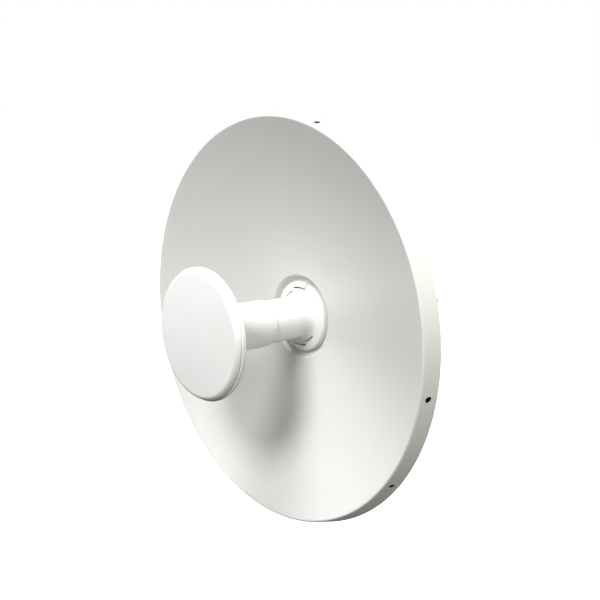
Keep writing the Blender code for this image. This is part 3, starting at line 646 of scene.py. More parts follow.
def startTree(name, inputs):
    tree = bpy.data.node_groups.new(name, "GeometryNodeTree")
    tree.interface.new_socket("Geometry", in_out="INPUT", socket_type="NodeSocketGeometry")
    for label, kind in inputs.items():
        tree.interface.new_socket(label, in_out="INPUT", socket_type="NodeSocket" + kind)
    tree.interface.new_socket("Geometry", in_out="OUTPUT", socket_type="NodeSocketGeometry")
    source = tree.nodes.new("NodeGroupInput")
    return tree, {socket.name: Wire(tree, socket) for socket in source.outputs if socket.name}


def closeTree(tree, shape, material):
    real = shape.node("GeometryNodeRealizeInstances", None, {0: shape})
    dressed = real.node("GeometryNodeSetMaterial", None, {"Geometry": real,
                        "Material": material})
    target = tree.nodes.new("NodeGroupOutput")
    tree.links.new(dressed.socket, target.inputs[0])
    return tree


def grown(name, tree, values, finish, seed=None):
    # run a tree on a seed mesh and keep the plain mesh it makes
    host = tempObject(seed or bpy.data.meshes.new(name))
    modifier = host.modifiers.new("grow", "NODES")
    modifier.node_group = tree
    values = {**values, "Material": finish}
    for item in tree.interface.items_tree:
        if item.in_out == "INPUT" and item.name in values:
            modifier[item.identifier] = values[item.name]
    mesh = settled(host)
    mesh.name = name
    return mesh


def spots(places):
    # a seed mesh of loose points
    mesh = bpy.data.meshes.new("spots")
    mesh.from_pydata([place(*spot) for spot in places], [], [])
    return mesh


def joinShapes(*shapes):
    joined = shapes[0].tree.nodes.new("GeometryNodeJoinGeometry")
    for shape in shapes:
        shape.tree.links.new(shape.socket, joined.inputs[0])
    return Wire(shapes[0].tree, joined.outputs[0])


def moved(shape, x, y, z):
    spot = shape.vector(x, y, z)
    return shape.node("GeometryNodeSetPosition", None, {"Geometry": shape, "Position": spot})


def unitGrid(start, across, along):
    # a grid whose two directions run from 0 to 1
    grid = start.node("GeometryNodeMeshGrid", None, {"Size X": 1.0, "Size Y": 1.0,
                      "Vertices X": across, "Vertices Y": along})
    position = start.node("GeometryNodeInputPosition")
    return grid, position.part(0) + 0.5, position.part(1) + 0.5


# the reflector: a paraboloid with a sunk cup in its middle and a rim turned back

dish = {"Aperture Radius": 209.0, "Dish Depth": 40.2, "Bore Radius": 24.0, "Cup Depth": 45.5,
        "Wall Inner": 39.4, "Wall Outer": 44.9, "Turn Radius": 208.0, "Lip Rounding": 1.9,
        "Flange Lean": 14.3, "Flange Depth": 18.0, "Around": 192, "Cup Rows": 34,
        "Bowl Rows": 44}
sheet = {"thickness": 1.2, "holeRadius": 3.3, "holeDepth": 9.0, "holePairs": (90.0, -22.2, 202.2),
         "holeHalfSpacing": 14.2, "screwHole": 2.9}
hubScrews = [(29.5, 0), (0, 29.5), (-29.5, 0), (0, -29.5)]
housingScrews = [(24, 24), (-24, 24), (-24, -26), (24, -26)]


def rimAngles():
    return [math.radians(pair + side * sheet["holeHalfSpacing"])
            for pair in sheet["holePairs"] for side in (-1, 1)]


def sideRod(radius, start, end, angle, depth, segments):
    # a rod that stands out from the axis at an angle
    tool = rod("sideRod", (0, poleDepth, 0), radius, "X", start, end, segments)
    tool.transform(Matrix.Rotation(-angle, 4, "Y"))
    tool.transform(Matrix.Translation(place(0, depth, 0)))
    return tool


def spunDishTree():
    kinds = {label: "Int" if isinstance(value, int) else "Float" for label, value in dish.items()}
    tree, get = startTree("spunDish", {**kinds, "Material": "Material"})
    start = Wire(tree)
    reach, deep = get["Aperture Radius"], get["Dish Depth"]

    def bowl(radius):
        ratio = radius / reach
        return deep * (1 - ratio * ratio)

    def spun(shape, turn, radius, depth):
        angle = turn * (2 * math.pi)
        return moved(shape, radius * start.maths("COSINE", angle) / 1000.0,
                     (depth - poleDepth) / 1000.0, radius * start.maths("SINE", angle) / 1000.0)

    cupEnd = get["Wall Outer"] + 2.0
    grid, turn, t = unitGrid(start, get["Around"], get["Cup Rows"])
    radius = get["Bore Radius"] + (cupEnd - get["Bore Radius"]) * (t ** 0.72)
    sunk = 1 - ease(radius, get["Wall Inner"], get["Wall Outer"])
    cup = spun(grid, turn, radius, bowl(radius) + (get["Cup Depth"] - bowl(radius)) * sunk)

    grid, turn, t = unitGrid(start, get["Around"], get["Bowl Rows"])
    radius = cupEnd + (get["Turn Radius"] - cupEnd) * t
    bowlBand = spun(grid, turn, radius, bowl(radius))

    lean = start.maths("ARCTANGENT", 2 * deep * get["Turn Radius"] / reach / reach)
    flangeLean = get["Flange Lean"] * (math.pi / 180)
    roll = get["Lip Rounding"]
    middle = get["Turn Radius"] + roll * start.maths("SINE", lean)
    middleDepth = bowl(get["Turn Radius"]) + roll * start.maths("COSINE", lean)
    grid, turn, t = unitGrid(start, get["Around"], 12)
    first = -math.pi / 2 - lean
    bend = first + (-1 * flangeLean - first) * t
    lip = spun(grid, turn, middle + roll * start.maths("COSINE", bend),
               middleDepth + roll * start.maths("SINE", bend))

    outer = middle + roll * start.maths("COSINE", flangeLean)
    outerDepth = middleDepth - roll * start.maths("SINE", flangeLean)
    grid, turn, t = unitGrid(start, get["Around"], 8)
    run = (get["Flange Depth"] - outerDepth) * t
    flange = spun(grid, turn, outer + run * start.maths("TANGENT", flangeLean), outerDepth + run)
    return closeTree(tree, joinShapes(cup, bowlBand, lip, flange), get["Material"])


def makeReflector():
    coat = finishes["white_powder_coat"]
    skin = grown("reflectorSkin", spunDishTree(), dish, coat)
    bm = bmesh.new()
    bm.from_mesh(skin)
    bmesh.ops.remove_doubles(bm, verts=bm.verts, dist=2e-6)
    bmesh.ops.recalc_face_normals(bm, faces=bm.faces)
    if sum(face.normal.y * face.calc_area() for face in bm.faces) > 0:
        bmesh.ops.reverse_faces(bm, faces=bm.faces)
    bm.to_mesh(skin)
    bm.free()
    shell = tempObject(skin)
    wall = shell.modifiers.new("sheet", "SOLIDIFY")
    wall.thickness = sheet["thickness"] / 1000
    wall.offset = -1.0
    wall.use_even_offset = True
    skin = settled(shell)
    floor = dish["Cup Depth"]
    drills = [rod("floorDrill", (x, 0, z), sheet["screwHole"], "Y", floor - 3, floor + 4)
              for x, z in hubScrews]
    drills += [sideRod(sheet["holeRadius"], 202, 222, angle, sheet["holeDepth"], 28)
               for angle in rimAngles()]
    addPiece("spunReflector", carved(skin, drills), ["reflector"], 38.0)


makeReflector()
print("reflector spun and drilled")


# the feed: tube, front disc and the hub collar with its two squeeze tabs

tube = {"radius": 24.1, "bore": 22.0, "front": -79.5, "rear": -11.0, "endRounding": 2.2,
        "seamDepth": -14.3, "seamWidth": 0.55, "seamCut": 0.4, "dotRadius": 0.75,
        "dotAngles": (28.5, 19.0), "dotDepth": -16.6}
cap = {"face": -94.4, "radius": 64.8, "edge": 5.0, "rear": -88.6}
shell = {"radius": 66.3, "front": -88.3, "neck": 26.5, "neckRear": -72.4}
plugs = {"radius": 2.95, "head": 4.4, "start": 206.6, "headTop": 208.7, "neck": 209.1,
         "end": 210.9, "hollow": 2.0, "hollowEnd": 207.6, "seat": 210.4, "sunk": 211.5,
         "lean": 0.279}
collar = {"radius": 22.3, "bore": 19.8, "front": -10.7, "rear": 60.0, "disc": 37.0,
          "skirtEnd": 45.2}
tabs = {"angles": (78.0, 112.0, 142.0), "inner": (31.3, 28.3), "slit": 1.5, "pivotRadius": 33.0}


def makeTube():
    seam, half = tube["seamDepth"], tube["seamWidth"] / 2
    low = tube["radius"] - tube["seamCut"]
    outline = [(tube["bore"], tube["front"]), (tube["radius"], tube["front"]),
               (tube["radius"], seam - half, 0.1), (low, seam - half * 0.4),
               (low, seam + half * 0.4), (tube["radius"], seam + half, 0.1),
               (tube["radius"], tube["rear"], tube["endRounding"]),
               (tube["bore"], tube["rear"], 0.4)]
    mesh = turned("feedTube", outline, 128, steps=6)
    dots = [sideRod(tube["dotRadius"], tube["radius"] - 0.5, tube["radius"] + 1.0,
                    math.radians(angle), tube["dotDepth"], 16) for angle in tube["dotAngles"]]
    addPiece("feedTube", carved(mesh, dots), ["feed_tube"])


def makeFrontDisc():
    face, radius, edge, rear = cap["face"], cap["radius"], cap["edge"], cap["rear"]
    outline = [(0, face)]
    for step in range(11):
        turn = math.pi / 2 * step / 10
        outline.append((radius - edge + edge * math.sin(turn), face + edge - edge * math.cos(turn)))
    outline += [(radius, rear, 0.25), (63, rear), (63, -86.7), (61.2, -86.7), (61.2, -90.2, 1.6),
                (59, -92.2, 1.2), (0, -92.2)]
    addPiece("radomeCap", turned("radomeCap", outline, 144, steps=3), ["radome_cap"], 50.0)

    outer, front = shell["radius"], shell["front"]
    outline = [(outer, front, 0.45), (outer, -86.5, 0.15), (outer - 0.35, -86.3),
               (outer - 0.35, -85.9), (outer, -85.7, 0.15), (outer, -84.6, 0.7),
               (64.8, -83.7, 0.8), (62.4, -83.4), (36, -79.7, 6.0), (28.2, -77.8, 2.0),
               (shell["neck"], -75.6, 1.4), (shell["neck"], shell["neckRear"], 0.5),
               (24.4, shell["neckRear"], 0.3), (24.4, -79.8), (22.5, -79.8), (22.5, -81.3),
               (36, -81.9), (60, -84.6), (63.4, -84.6), (63.4, front, 0.2)]
    addPiece("frontDiscShell", turned("frontDiscShell", outline, 144), ["subreflector_shell"],
             50.0)


def makeRimPlugs():
    # the tops of head and shank lean with the flange that the plugs sit in
    radius, head, end = plugs["radius"], plugs["head"], plugs["end"]
    outline = [(0, plugs["start"]), (head, plugs["start"], 0.5), (head, plugs["headTop"], 0.3),
               (radius, plugs["neck"]), (radius, end, 0.4), (plugs["hollow"], end, 0.3),
               (plugs["hollow"], plugs["hollowEnd"]), (0, plugs["hollowEnd"])]
    for number, angle in enumerate(rimAngles(), 1):
        mesh = turned(f"rimPlug.{number}", outline, 32, (0, sheet["holeDepth"], 0), "X")
        for point in mesh.vertices:
            behind = point.co.y * 1000 + poleDepth - sheet["holeDepth"]
            outside = math.hypot(behind, point.co.z * 1000) > radius + 0.15
            if point.co.x * 1000 > (plugs["headTop"] - 0.5 if outside else end - 0.9):
                top = plugs["seat"] if outside else plugs["sunk"]
                point.co.x = (top + plugs["lean"] * behind) / 1000
        mesh.transform(Matrix.Rotation(-angle, 4, "Y"))
        addPiece(f"rimPlug.{number}", mesh, [f"rim_plug_{number}"], 45.0)


def flangeTop(radius):
    return 37.7 + 1.3 * max(radius - 29, 0) / 6.8


def tabSection(inner, cutter):
    disc, skirt = collar["disc"], collar["skirtEnd"]
    if cutter:
        return [(inner, 30.0), (41.0, 30.0), (41.0, 46.5), (inner, 46.5)]
    return softCorners([(inner, flangeTop(inner), 0.5), (35.8, flangeTop(35.8), 0.9),
                        (disc, 40.2, 0.9), (disc, skirt), (35, skirt), (35, 41.6),
                        (inner, 41.2, 0.3)], 3)


def tabMesh(name, free, root, grow, turn, cutter=False):
    # the section lofted round the hub from the free end, over a step, to the root
    step = tabs["angles"][1]
    stations = []
    for start, end, inner in ((free, step, tabs["inner"][0]), (step + 0.8, root,
                              tabs["inner"][1])):
        stations += [(start + (end - start) * part / 14, inner - grow) for part in range(15)]
    bm = bmesh.new()
    rings = []
    for angle, inner in stations:
        way = math.radians(angle + turn)
        rings.append([bm.verts.new(place(radius * math.cos(way), depth, radius * math.sin(way)))
                      for radius, depth in tabSection(inner, cutter)])
    for ring, other in zip(rings, rings[1:]):
        bridge(bm, ring, other)
    bm.faces.new(rings[0])
    bm.faces.new(rings[-1])
    return finishMesh(bm, name)


def makeCollar():
    radius, bore, disc = collar["radius"], collar["bore"], collar["disc"]
    spigot = 21.6
    outline = [(bore, -22, 0.4), (spigot, -22, 0.5), (spigot, -17.3), (20.7, -17.3),
               (20.7, -14.7), (spigot, -14.7), (spigot, collar["front"]),
               (radius, collar["front"], 0.3), (radius, 29.0, 2.0), (22.75, 32.2, 1.6),
               (24.0, 35.0, 1.6), (26.4, 37.0, 1.8), (29, flangeTop(29), 1.2),
               (35.8, flangeTop(35.8), 1.0), (disc, 40.3, 1.0), (disc, collar["skirtEnd"], 0.3),
               (35, collar["skirtEnd"], 0.2), (35, 41.6), (radius, 41.0),
               (radius, collar["rear"], 0.8), (bore, collar["rear"], 0.4)]
    mesh = turned("hubCollar", outline, 144)
    slitTurn = math.degrees(tabs["slit"] / tabs["pivotRadius"])
    free, _, root = tabs["angles"]
    windows = [tabMesh("window", free - slitTurn, root + 1.0, tabs["slit"], turn, True)
               for turn in (0, 180)]
    addPiece("hubCollar", carved(mesh, windows), ["hub_collar"])
    for node, turn in (("latch_tab_upper", 0), ("latch_tab_lower", 180)):
        mesh = tabMesh(node, free, root, 0.0, turn)
        addPiece(node.replace("latch_tab_", "squeezeTab."), bevelled(mesh, 0.18), [node])


makeTube()
makeFrontDisc()
makeRimPlugs()
makeCollar()
print("feed tube, disc and collar turned")


# trees for what repeats: screws, nuts, threads, bars and notches


def bar(start, width, depth, height, smooth=2):
    # a block with soft edges, sizes in millimetres
    size = start.vector(width / 1000.0, depth / 1000.0, height / 1000.0)
    cube = start.node("GeometryNodeMeshCube", None, {"Size": size})
    if not smooth:
        return cube
    return cube.node("GeometryNodeSubdivisionSurface", None, {"Mesh": cube, "Level": smooth,
                     "Edge Crease": 0.72, "Vertex Crease": 0.45})


def shifted(shape, x, y, z):
    step = shape.vector(x, y, z)
    return shape.node("GeometryNodeTransform", None, {"Geometry": shape, "Translation": step})


def drum(start, vertices, radius, height, rounding, power, segments):
    # a round block from 0 to height whose radius falls by rounding at its top
    body = start.node("GeometryNodeMeshCylinder", None, {"Vertices": vertices, "Radius": radius,
                      "Depth": height, "Side Segments": segments})
    position = start.node("GeometryNodeInputPosition")
    x, y, z = [position.part(number) for number in range(3)]
    t = z / height + 0.5
    shrink = 1 - rounding * (start.maths("MAXIMUM", t, 0.0) ** power)
    return moved(body, x * shrink, y * shrink, z + height / 2.0)


def carvedShape(first, second, operation="DIFFERENCE"):
    made = first.tree.nodes.new("GeometryNodeMeshBoolean")
    made.operation = operation
    made.solver = "EXACT"
    links = first.tree.links
    links.new(first.socket, made.inputs["Mesh 1" if operation == "DIFFERENCE" else "Mesh 2"])
    links.new(second.socket, made.inputs["Mesh 2"])
    return Wire(first.tree, made.outputs[0])


def stood(start, points, shape, get):
    # the shape on every point, turned to Turn, each with its own spin
    placed = start.node("GeometryNodeInstanceOnPoints", None, {"Points": points,
                        "Instance": shape, "Rotation": get["Turn"]})
    spin = start.node("FunctionNodeRandomValue", {"data_type": "FLOAT"},
                      {2: 0.0, 3: 2 * math.pi, "Seed": get["Seed"]}, out=1)
    twist = start.vector(z=spin * get["Spin"])
    return start.node("GeometryNodeRotateInstances", None, {"Instances": placed,
                      "Rotation": twist, "Local Space": True})


def panScrewTree():
    tree, get = startTree("crossHeadScrews", {
        "Head Radius": "Float", "Head Height": "Float", "Shank Radius": "Float",
        "Shank Length": "Float", "Turn": "Vector", "Spin": "Float", "Seed": "Int",
        "Material": "Material"})
    start = Wire(tree)
    radius, height = get["Head Radius"], get["Head Height"]
    head = drum(start, 32, radius / 1000.0, height / 1000.0, 0.36, 3.0, 7)
    arms = joinShapes(bar(start, radius * 1.12, radius * 0.24, height * 1.1, 0),
                      bar(start, radius * 0.24, radius * 1.12, height * 1.1, 0))
    arms = carvedShape(arms, bar(start, radius * 0.34, radius * 0.34, height * 1.1, 0), "UNION")
    head = carvedShape(head, shifted(arms, 0.0, 0.0, height / 1000.0))
    shank = start.node("GeometryNodeMeshCylinder", None, {"Vertices": 18, "Radius":
                       get["Shank Radius"] / 1000.0, "Depth": get["Shank Length"] / 1000.0})
    shank = shifted(shank, 0.0, 0.0, get["Shank Length"] / -2000.0 + 0.0003)
    shape = joinShapes(head, shank)
    return closeTree(tree, stood(start, get["Geometry"], shape, get), get["Material"])


def nutTree():
    tree, get = startTree("hexNuts", {
        "Across Flats": "Float", "Height": "Float", "Bore": "Float", "Turn": "Vector",
        "Spin": "Float", "Seed": "Int", "Material": "Material"})
    start = Wire(tree)
    corner, height = get["Across Flats"] / 1732.05, get["Height"] / 1000.0
    blank = start.node("GeometryNodeMeshCylinder", None, {"Vertices": 6, "Radius": corner,
                       "Depth": height})
    blank = shifted(blank, 0.0, 0.0, height / 2.0)
    upper = drum(start, 48, corner * 1.002, height, 0.125, 7.0, 12)
    blank = carvedShape(blank, upper, "INTERSECT")
    lower = start.node("GeometryNodeTransform", None, {
        "Geometry": upper, "Rotation": (math.pi, 0.0, 0.0),
        "Translation": start.vector(z=height)})
    blank = carvedShape(blank, lower, "INTERSECT")
    bore = start.node("GeometryNodeMeshCylinder", None, {"Vertices": 32, "Radius":
                      get["Bore"] / 1000.0, "Depth": height * 4.0})
    nut = carvedShape(blank, bore)
    return closeTree(tree, stood(start, get["Geometry"], nut, get), get["Material"])


def threadTree():
    # a rod from 0 to Length whose skin is a screw thread
    tree, get = startTree("threadedRod", {
        "Length": "Float", "Pitch": "Float", "Major Radius": "Float", "Minor Radius": "Float",
        "Rows": "Int", "Around": "Int", "Material": "Material"})
    start = Wire(tree)
    grid, turn, t = unitGrid(start, get["Around"], get["Rows"])
    along = t * get["Length"]
    phase = start.maths("FRACT", along / get["Pitch"] - turn + 4.0)
    ridge = 1 - start.maths("ABSOLUTE", phase * 2.0 - 1.0)
    ridge = start.maths("MINIMUM", start.maths("MAXIMUM", ridge * 1.7 - 0.25, 0.0), 1.0)
    fade = start.maths("MINIMUM", (get["Length"] - along) / get["Pitch"], 1.0)
    radius = get["Minor Radius"] + (get["Major Radius"] - get["Minor Radius"]) * ridge * fade
    closed = (t > 0.0001) * (t < 0.9999)
    angle = turn * (2 * math.pi)
    radius = radius * closed / 1000.0
    rodShape = moved(grid, radius * start.maths("COSINE", angle),
                     radius * start.maths("SINE", angle), along / 1000.0)
    return closeTree(tree, rodShape, get["Material"])


def barRowTree():
    # soft-edged bars in a row from a point, each a step further on and turned a little more
    tree, get = startTree("barRow", {
        "Count": "Int", "From": "Vector", "Step": "Vector", "Width": "Float", "Depth": "Float",
        "Height": "Float", "Softness": "Int", "First Turn": "Vector", "Turn Step": "Vector",
        "Hub": "Vector", "Material": "Material"})
    start = Wire(tree)
    shape = bar(start, get["Width"], get["Depth"], get["Height"])
    sharp = bar(start, get["Width"], get["Depth"], get["Height"], 0)
    shape = start.node("GeometryNodeSwitch", {"input_type": "GEOMETRY"},
                       {"Switch": get["Softness"], "False": sharp, "True": shape})
    line = start.node("GeometryNodeMeshLine", {"mode": "OFFSET"}, {
        "Count": get["Count"], "Start Location": get["From"], "Offset": get["Step"]})
    index = start.node("GeometryNodeInputIndex")
    twist = start.node("ShaderNodeVectorMath", {"operation": "MULTIPLY_ADD"}, {
        0: get["Turn Step"], 1: start.vector(index, index, index), 2: get["First Turn"]})
    row = start.node("GeometryNodeInstanceOnPoints", None, {"Points": line, "Instance": shape})
    row = start.node("GeometryNodeRotateInstances", None, {"Instances": row, "Rotation": twist,
                     "Pivot Point": get["Hub"], "Local Space": False})
    return closeTree(tree, row, get["Material"])


panScrew, nut, thread, barRow = panScrewTree(), nutTree(), threadTree(), barRowTree()
steel = finishes["stainless_steel"]
turnTo = {"+Y": (-math.pi / 2, 0, 0), "-Y": (math.pi / 2, 0, 0), "+X": (0, math.pi / 2, 0),
          "-X": (0, -math.pi / 2, 0)}


def row(finish, count, first, step, size, soft=True, turn=(0, 0, 0), turnStep=(0, 0, 0),
        hub=(0, 0, 0)):
    values = {"Count": count, "From": place(*first), "Step": Vector(step) / 1000,
              "Width": size[0], "Depth": size[1], "Height": size[2], "Softness": int(soft),
              "First Turn": turn, "Turn Step": turnStep, "Hub": hub}
    return grown("row", barRow, values, finishes[finish])


# screws, nuts, washers and bolts

screwSets = {
    "housingScrews": {"nodes": [f"housing_screw_{number}" for number in range(1, 5)],
                      "spots": [(x, 96.3, z) for x, z in housingScrews], "head": "+Y",
                      "size": (3.2, 2.4, 1.6, 47.0), "seed": 3},
    "hubScrews": {"nodes": [f"hub_screw_{number}" for number in range(1, 5)],
                  "spots": [(x, 45.2, z) for x, z in hubScrews], "head": "-Y",
                  "size": (4.2, 2.6, 2.5, 6.2), "seed": 5},
    "groundScrew": {"nodes": ["ground_screw"], "spots": [(41, 53.4, -35)], "head": "+Y",
                    "size": (4.5, 3.2, 2.5, 4.4), "seed": 8},
    "boardScrews": {"nodes": ["board_screw_front", "board_screw_rear"],
                    "spots": [(-4.9, -58, 0), (-4.9, 30, 0)], "head": "+X",
                    "size": (2.8, 1.7, 1.1, 8.0), "seed": 2}}
nutSets = {
    "clampNuts": {"nodes": ["clamp_nut_left", "clamp_nut_right"], "size": (13.0, 6.5, 4.05),
                  "head": "+Y", "seed": 4},
    "pivotNut": {"nodes": ["pivot_nut"], "size": (13.0, 6.5, 4.05), "head": "+X", "seed": 6},
    "lockNutLeft": {"nodes": ["lock_nut_left"], "size": (10.0, 5.0, 3.05), "head": "+X",
                    "seed": 7},
    "lockNutRight": {"nodes": ["lock_nut_right"], "size": (10.0, 5.0, 3.05), "head": "+X",
                     "seed": 9}}
cupBolts = {
    "clamp_bolt": {"outline": [(0, -3.6), (3.0, -3.6, 1.2), (5.9, -2.4, 1.4), (7.4, -0.7, 0.4),
                               (7.4, 0, 0.15), (4.0, 0), (4.0, 26.6, 0.4), (0, 26.6)],
                   "axis": "Y", "around": 48, "x": 36, "centre": (123.7, 0), "threadX": 36,
                   "threadStart": (150.0, 0), "thread": (64.0, 1.25, 4.0, 3.35)},
    "lock_bolt": {"outline": [(0, -3.0), (2.6, -3.0, 1.0), (5.2, -2.0, 1.2), (6.4, -0.6, 0.4),
                              (6.4, 0, 0.15), (3.0, 0), (3.0, 6.6, 0.3), (0, 6.6)],
                  "axis": "X", "around": 40, "x": 45.7, "centre": (82.0, 0), "threadX": 52.0,
                  "threadStart": (82.0, 0), "thread": (10.7, 1.0, 3.0, 2.45)}}
washers = {"clamp_washer_left": "Y", "clamp_washer_right": "Y", "ground_washer": "Y",
           "lock_washer_left": "X", "lock_washer_right": "X"}
washerBores = {"clamp": 4.4, "ground": 2.8, "lock": 3.3}


def makeScrews():
    for name, facts in screwSets.items():
        radius, height, shank, length = facts["size"]
        values = {"Head Radius": radius, "Head Height": height, "Shank Radius": shank,
                  "Shank Length": length, "Turn": turnTo[facts["head"]], "Spin": 1.0,
                  "Seed": facts["seed"]}
        mesh = grown(name, panScrew, values, steel, spots(facts["spots"]))
        addPiece(name, mesh, facts["nodes"], 35.0)


def nodeStart(node, axis):
    # the lowest point of a node's axis, as (x, depth, z)
    low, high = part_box(node)
    middle = (low + high) / 2 * 1000
    spot = [middle.x, middle.y + poleDepth, middle.z]
    part = "XYZ".index(axis)
    spot[part] = low[part] * 1000 + (poleDepth if axis == "Y" else 0.0)
    return spot


def makeNuts():
    for name, facts in nutSets.items():
        flats, height, bore = facts["size"]
        values = {"Across Flats": flats, "Height": height, "Bore": bore,
                  "Turn": turnTo[facts["head"]], "Spin": 1.0, "Seed": facts["seed"]}
        seeds = spots([nodeStart(node, facts["head"][1]) for node in facts["nodes"]])
        addPiece(name, grown(name, nut, values, steel, seeds), facts["nodes"], 30.0)


def makeWashers():
    for node, axis in washers.items():
        low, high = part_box(node)
        part = "XYZ".index(axis)
        thick = (high[part] - low[part]) * 1000
        outer = (high.z - low.z) * 500
        bore = washerBores[node.split("_")[0]]
        spot = nodeStart(node, axis)
        outline = [(bore, 0, 0.15), (outer, 0, 0.25), (outer, thick, 0.25), (bore, thick, 0.15)]
        addPiece(node.replace("_", "."), turned(node, outline, 56, spot, axis, 3), [node])


def threaded(length, pitch, major, minor, origin, axis, flip=False):
    values = {"Length": length, "Pitch": pitch, "Major Radius": major, "Minor Radius": minor,
              "Rows": int(length / pitch * 7) + 2, "Around": 25}
    mesh = grown("thread", thread, values, steel)
    sign = "-" if flip else "+"
    mesh.transform(Matrix.Rotation(turnTo[sign + axis][0], 4, "X")
                   @ Matrix.Rotation(turnTo[sign + axis][1], 4, "Y"))
    mesh.transform(Matrix.Translation(place(*origin)))
    bm = bmesh.new()
    bm.from_mesh(mesh)
    return finishMesh(bm, "thread")


def makeBolts():
    for name, facts in cupBolts.items():
        for side, end in ((-1, "left"), (1, "right")):
            node, way = f"{name}_{end}", side if facts["axis"] == "X" else 1
            neck = turned(node, [(radius, way * distance, *rest) for radius, distance, *rest
                                 in facts["outline"]], facts["around"],
                          (side * facts["x"], *facts["centre"]), facts["axis"])
            screw = threaded(*facts["thread"], (side * facts["threadX"], *facts["threadStart"]),
                             facts["axis"], way < 0)
            addPiece(node.replace("_", "."), merged([neck, screw], node), [node], 35.0)
    head = prism("pivotHead", arcPoints((108.0, 0), 6.952, 0, 300, 5), "X", -58.8, -53.8)
    chamfer = turned("chamfer", [(0, -5.0), (6.0, -5.0, 0.3), (6.98, -4.3, 0.3), (7.0, 0.0),
                                 (0, 0)], 48, (-53.8, 108.0, 0), "X")
    head = carved(head, [chamfer], "INTERSECT")
    shank = rod("pivotShank", (0, 108.0, 0), 4.0, "X", -54.0, 46.0, 40)
    screw = threaded(18.0, 1.25, 4.0, 3.35, (45.8, 108.0, 0), "X")
    addPiece("pivotBolt", merged([head, shank, screw], "pivotBolt"), ["pivot_bolt"], 35.0)


makeScrews()
makeNuts()
makeWashers()
makeBolts()
print("screws, nuts, washers and bolts made")


# the hub plate, the radio's housing and what sits on it

plate = {"halfWidth": 50.0, "halfHeight": 44.0, "front": 47.0, "thick": 5.0, "corner": 10.0,
         "bore": 22.7, "earInner": 46.0, "earThick": 4.0, "earHalf": 14.0, "edge": 0.7}
tilt = {"depth": 108.0, "lockRadius": 26.0, "limit": 20.0, "slotHalf": 3.4}
housing = {"halfWidth": 34.0, "low": -36.0, "high": 34.0, "corner": 12.0, "wall": 2.5,
           "front": 53.6, "rear": 96.0, "edge": 1.5, "ribs": 7, "ribPitch": 5.0,
           "ribSize": (1.5, 1.2, 30.0)}
port = {"x": 1.75, "depth": 83.2, "hingeDepth": 57.0, "hingeZ": -39.4, "knuckle": 2.6}


def makeHubPlate():
    half, tall, back = plate["halfWidth"], plate["halfHeight"], plate["front"] + plate["thick"]
    mesh = prism("hubPlate", roundedBox(-half, half, -tall, tall, plate["corner"] * 1.6), "Y",
                 plate["front"], back, 10)
    ears = []
    for side in (-1, 1):
        outline = arcPoints((tilt["depth"], 0), plate["earHalf"], -90, 90, 28)
        outline += [(70, 15.5), (back - 2, 21.5), (back - 2, -21.5), (70, -15.5)]
        near, far = sorted((side * plate["earInner"], side * (plate["earInner"]
                                                              + plate["earThick"])))
        ears.append(prism("ear", outline, "X", near, far))
        for z in (-12.0, 12.0):
            inner = side * plate["earInner"]
            web = [(inner - side * 7.5, back - 1), (inner + side * 1.0, back - 1),
                   (inner + side * 1.0, back + 9.5), (inner - side * 0.2, back + 9.5)]
            ears.append(prism("gusset", web, "Z", z - 1.3, z + 1.3))
    for ear in ears:
        mesh = carved(mesh, [ear], "UNION")
    mesh = bevelled(mesh, plate["edge"], 3)
    drills = [rod("bore", (0, 0, 0), plate["bore"], "Y", 40, 60, 72)]
    drills += [rod("drill", (x, 0, z), 2.8, "Y", 40, 60) for x, z in hubScrews]
    drills += [rod("drill", (x, 0, z), 1.9, "Y", 40, 60) for x, z in housingScrews]
    drills += [rod("drill", (41, 0, -35), 2.8, "Y", 48.5, 60)]
    for radius, depth in ((4.3, tilt["depth"]), (3.3, tilt["depth"] - tilt["lockRadius"])):
        drills += [rod("drill", (0, depth, 0), radius, "X", 40, 60),
                   rod("drill", (0, depth, 0), radius, "X", -60, -40)]
    addPiece("hubPlate", carved(mesh, drills), ["hub_plate"], 35.0)


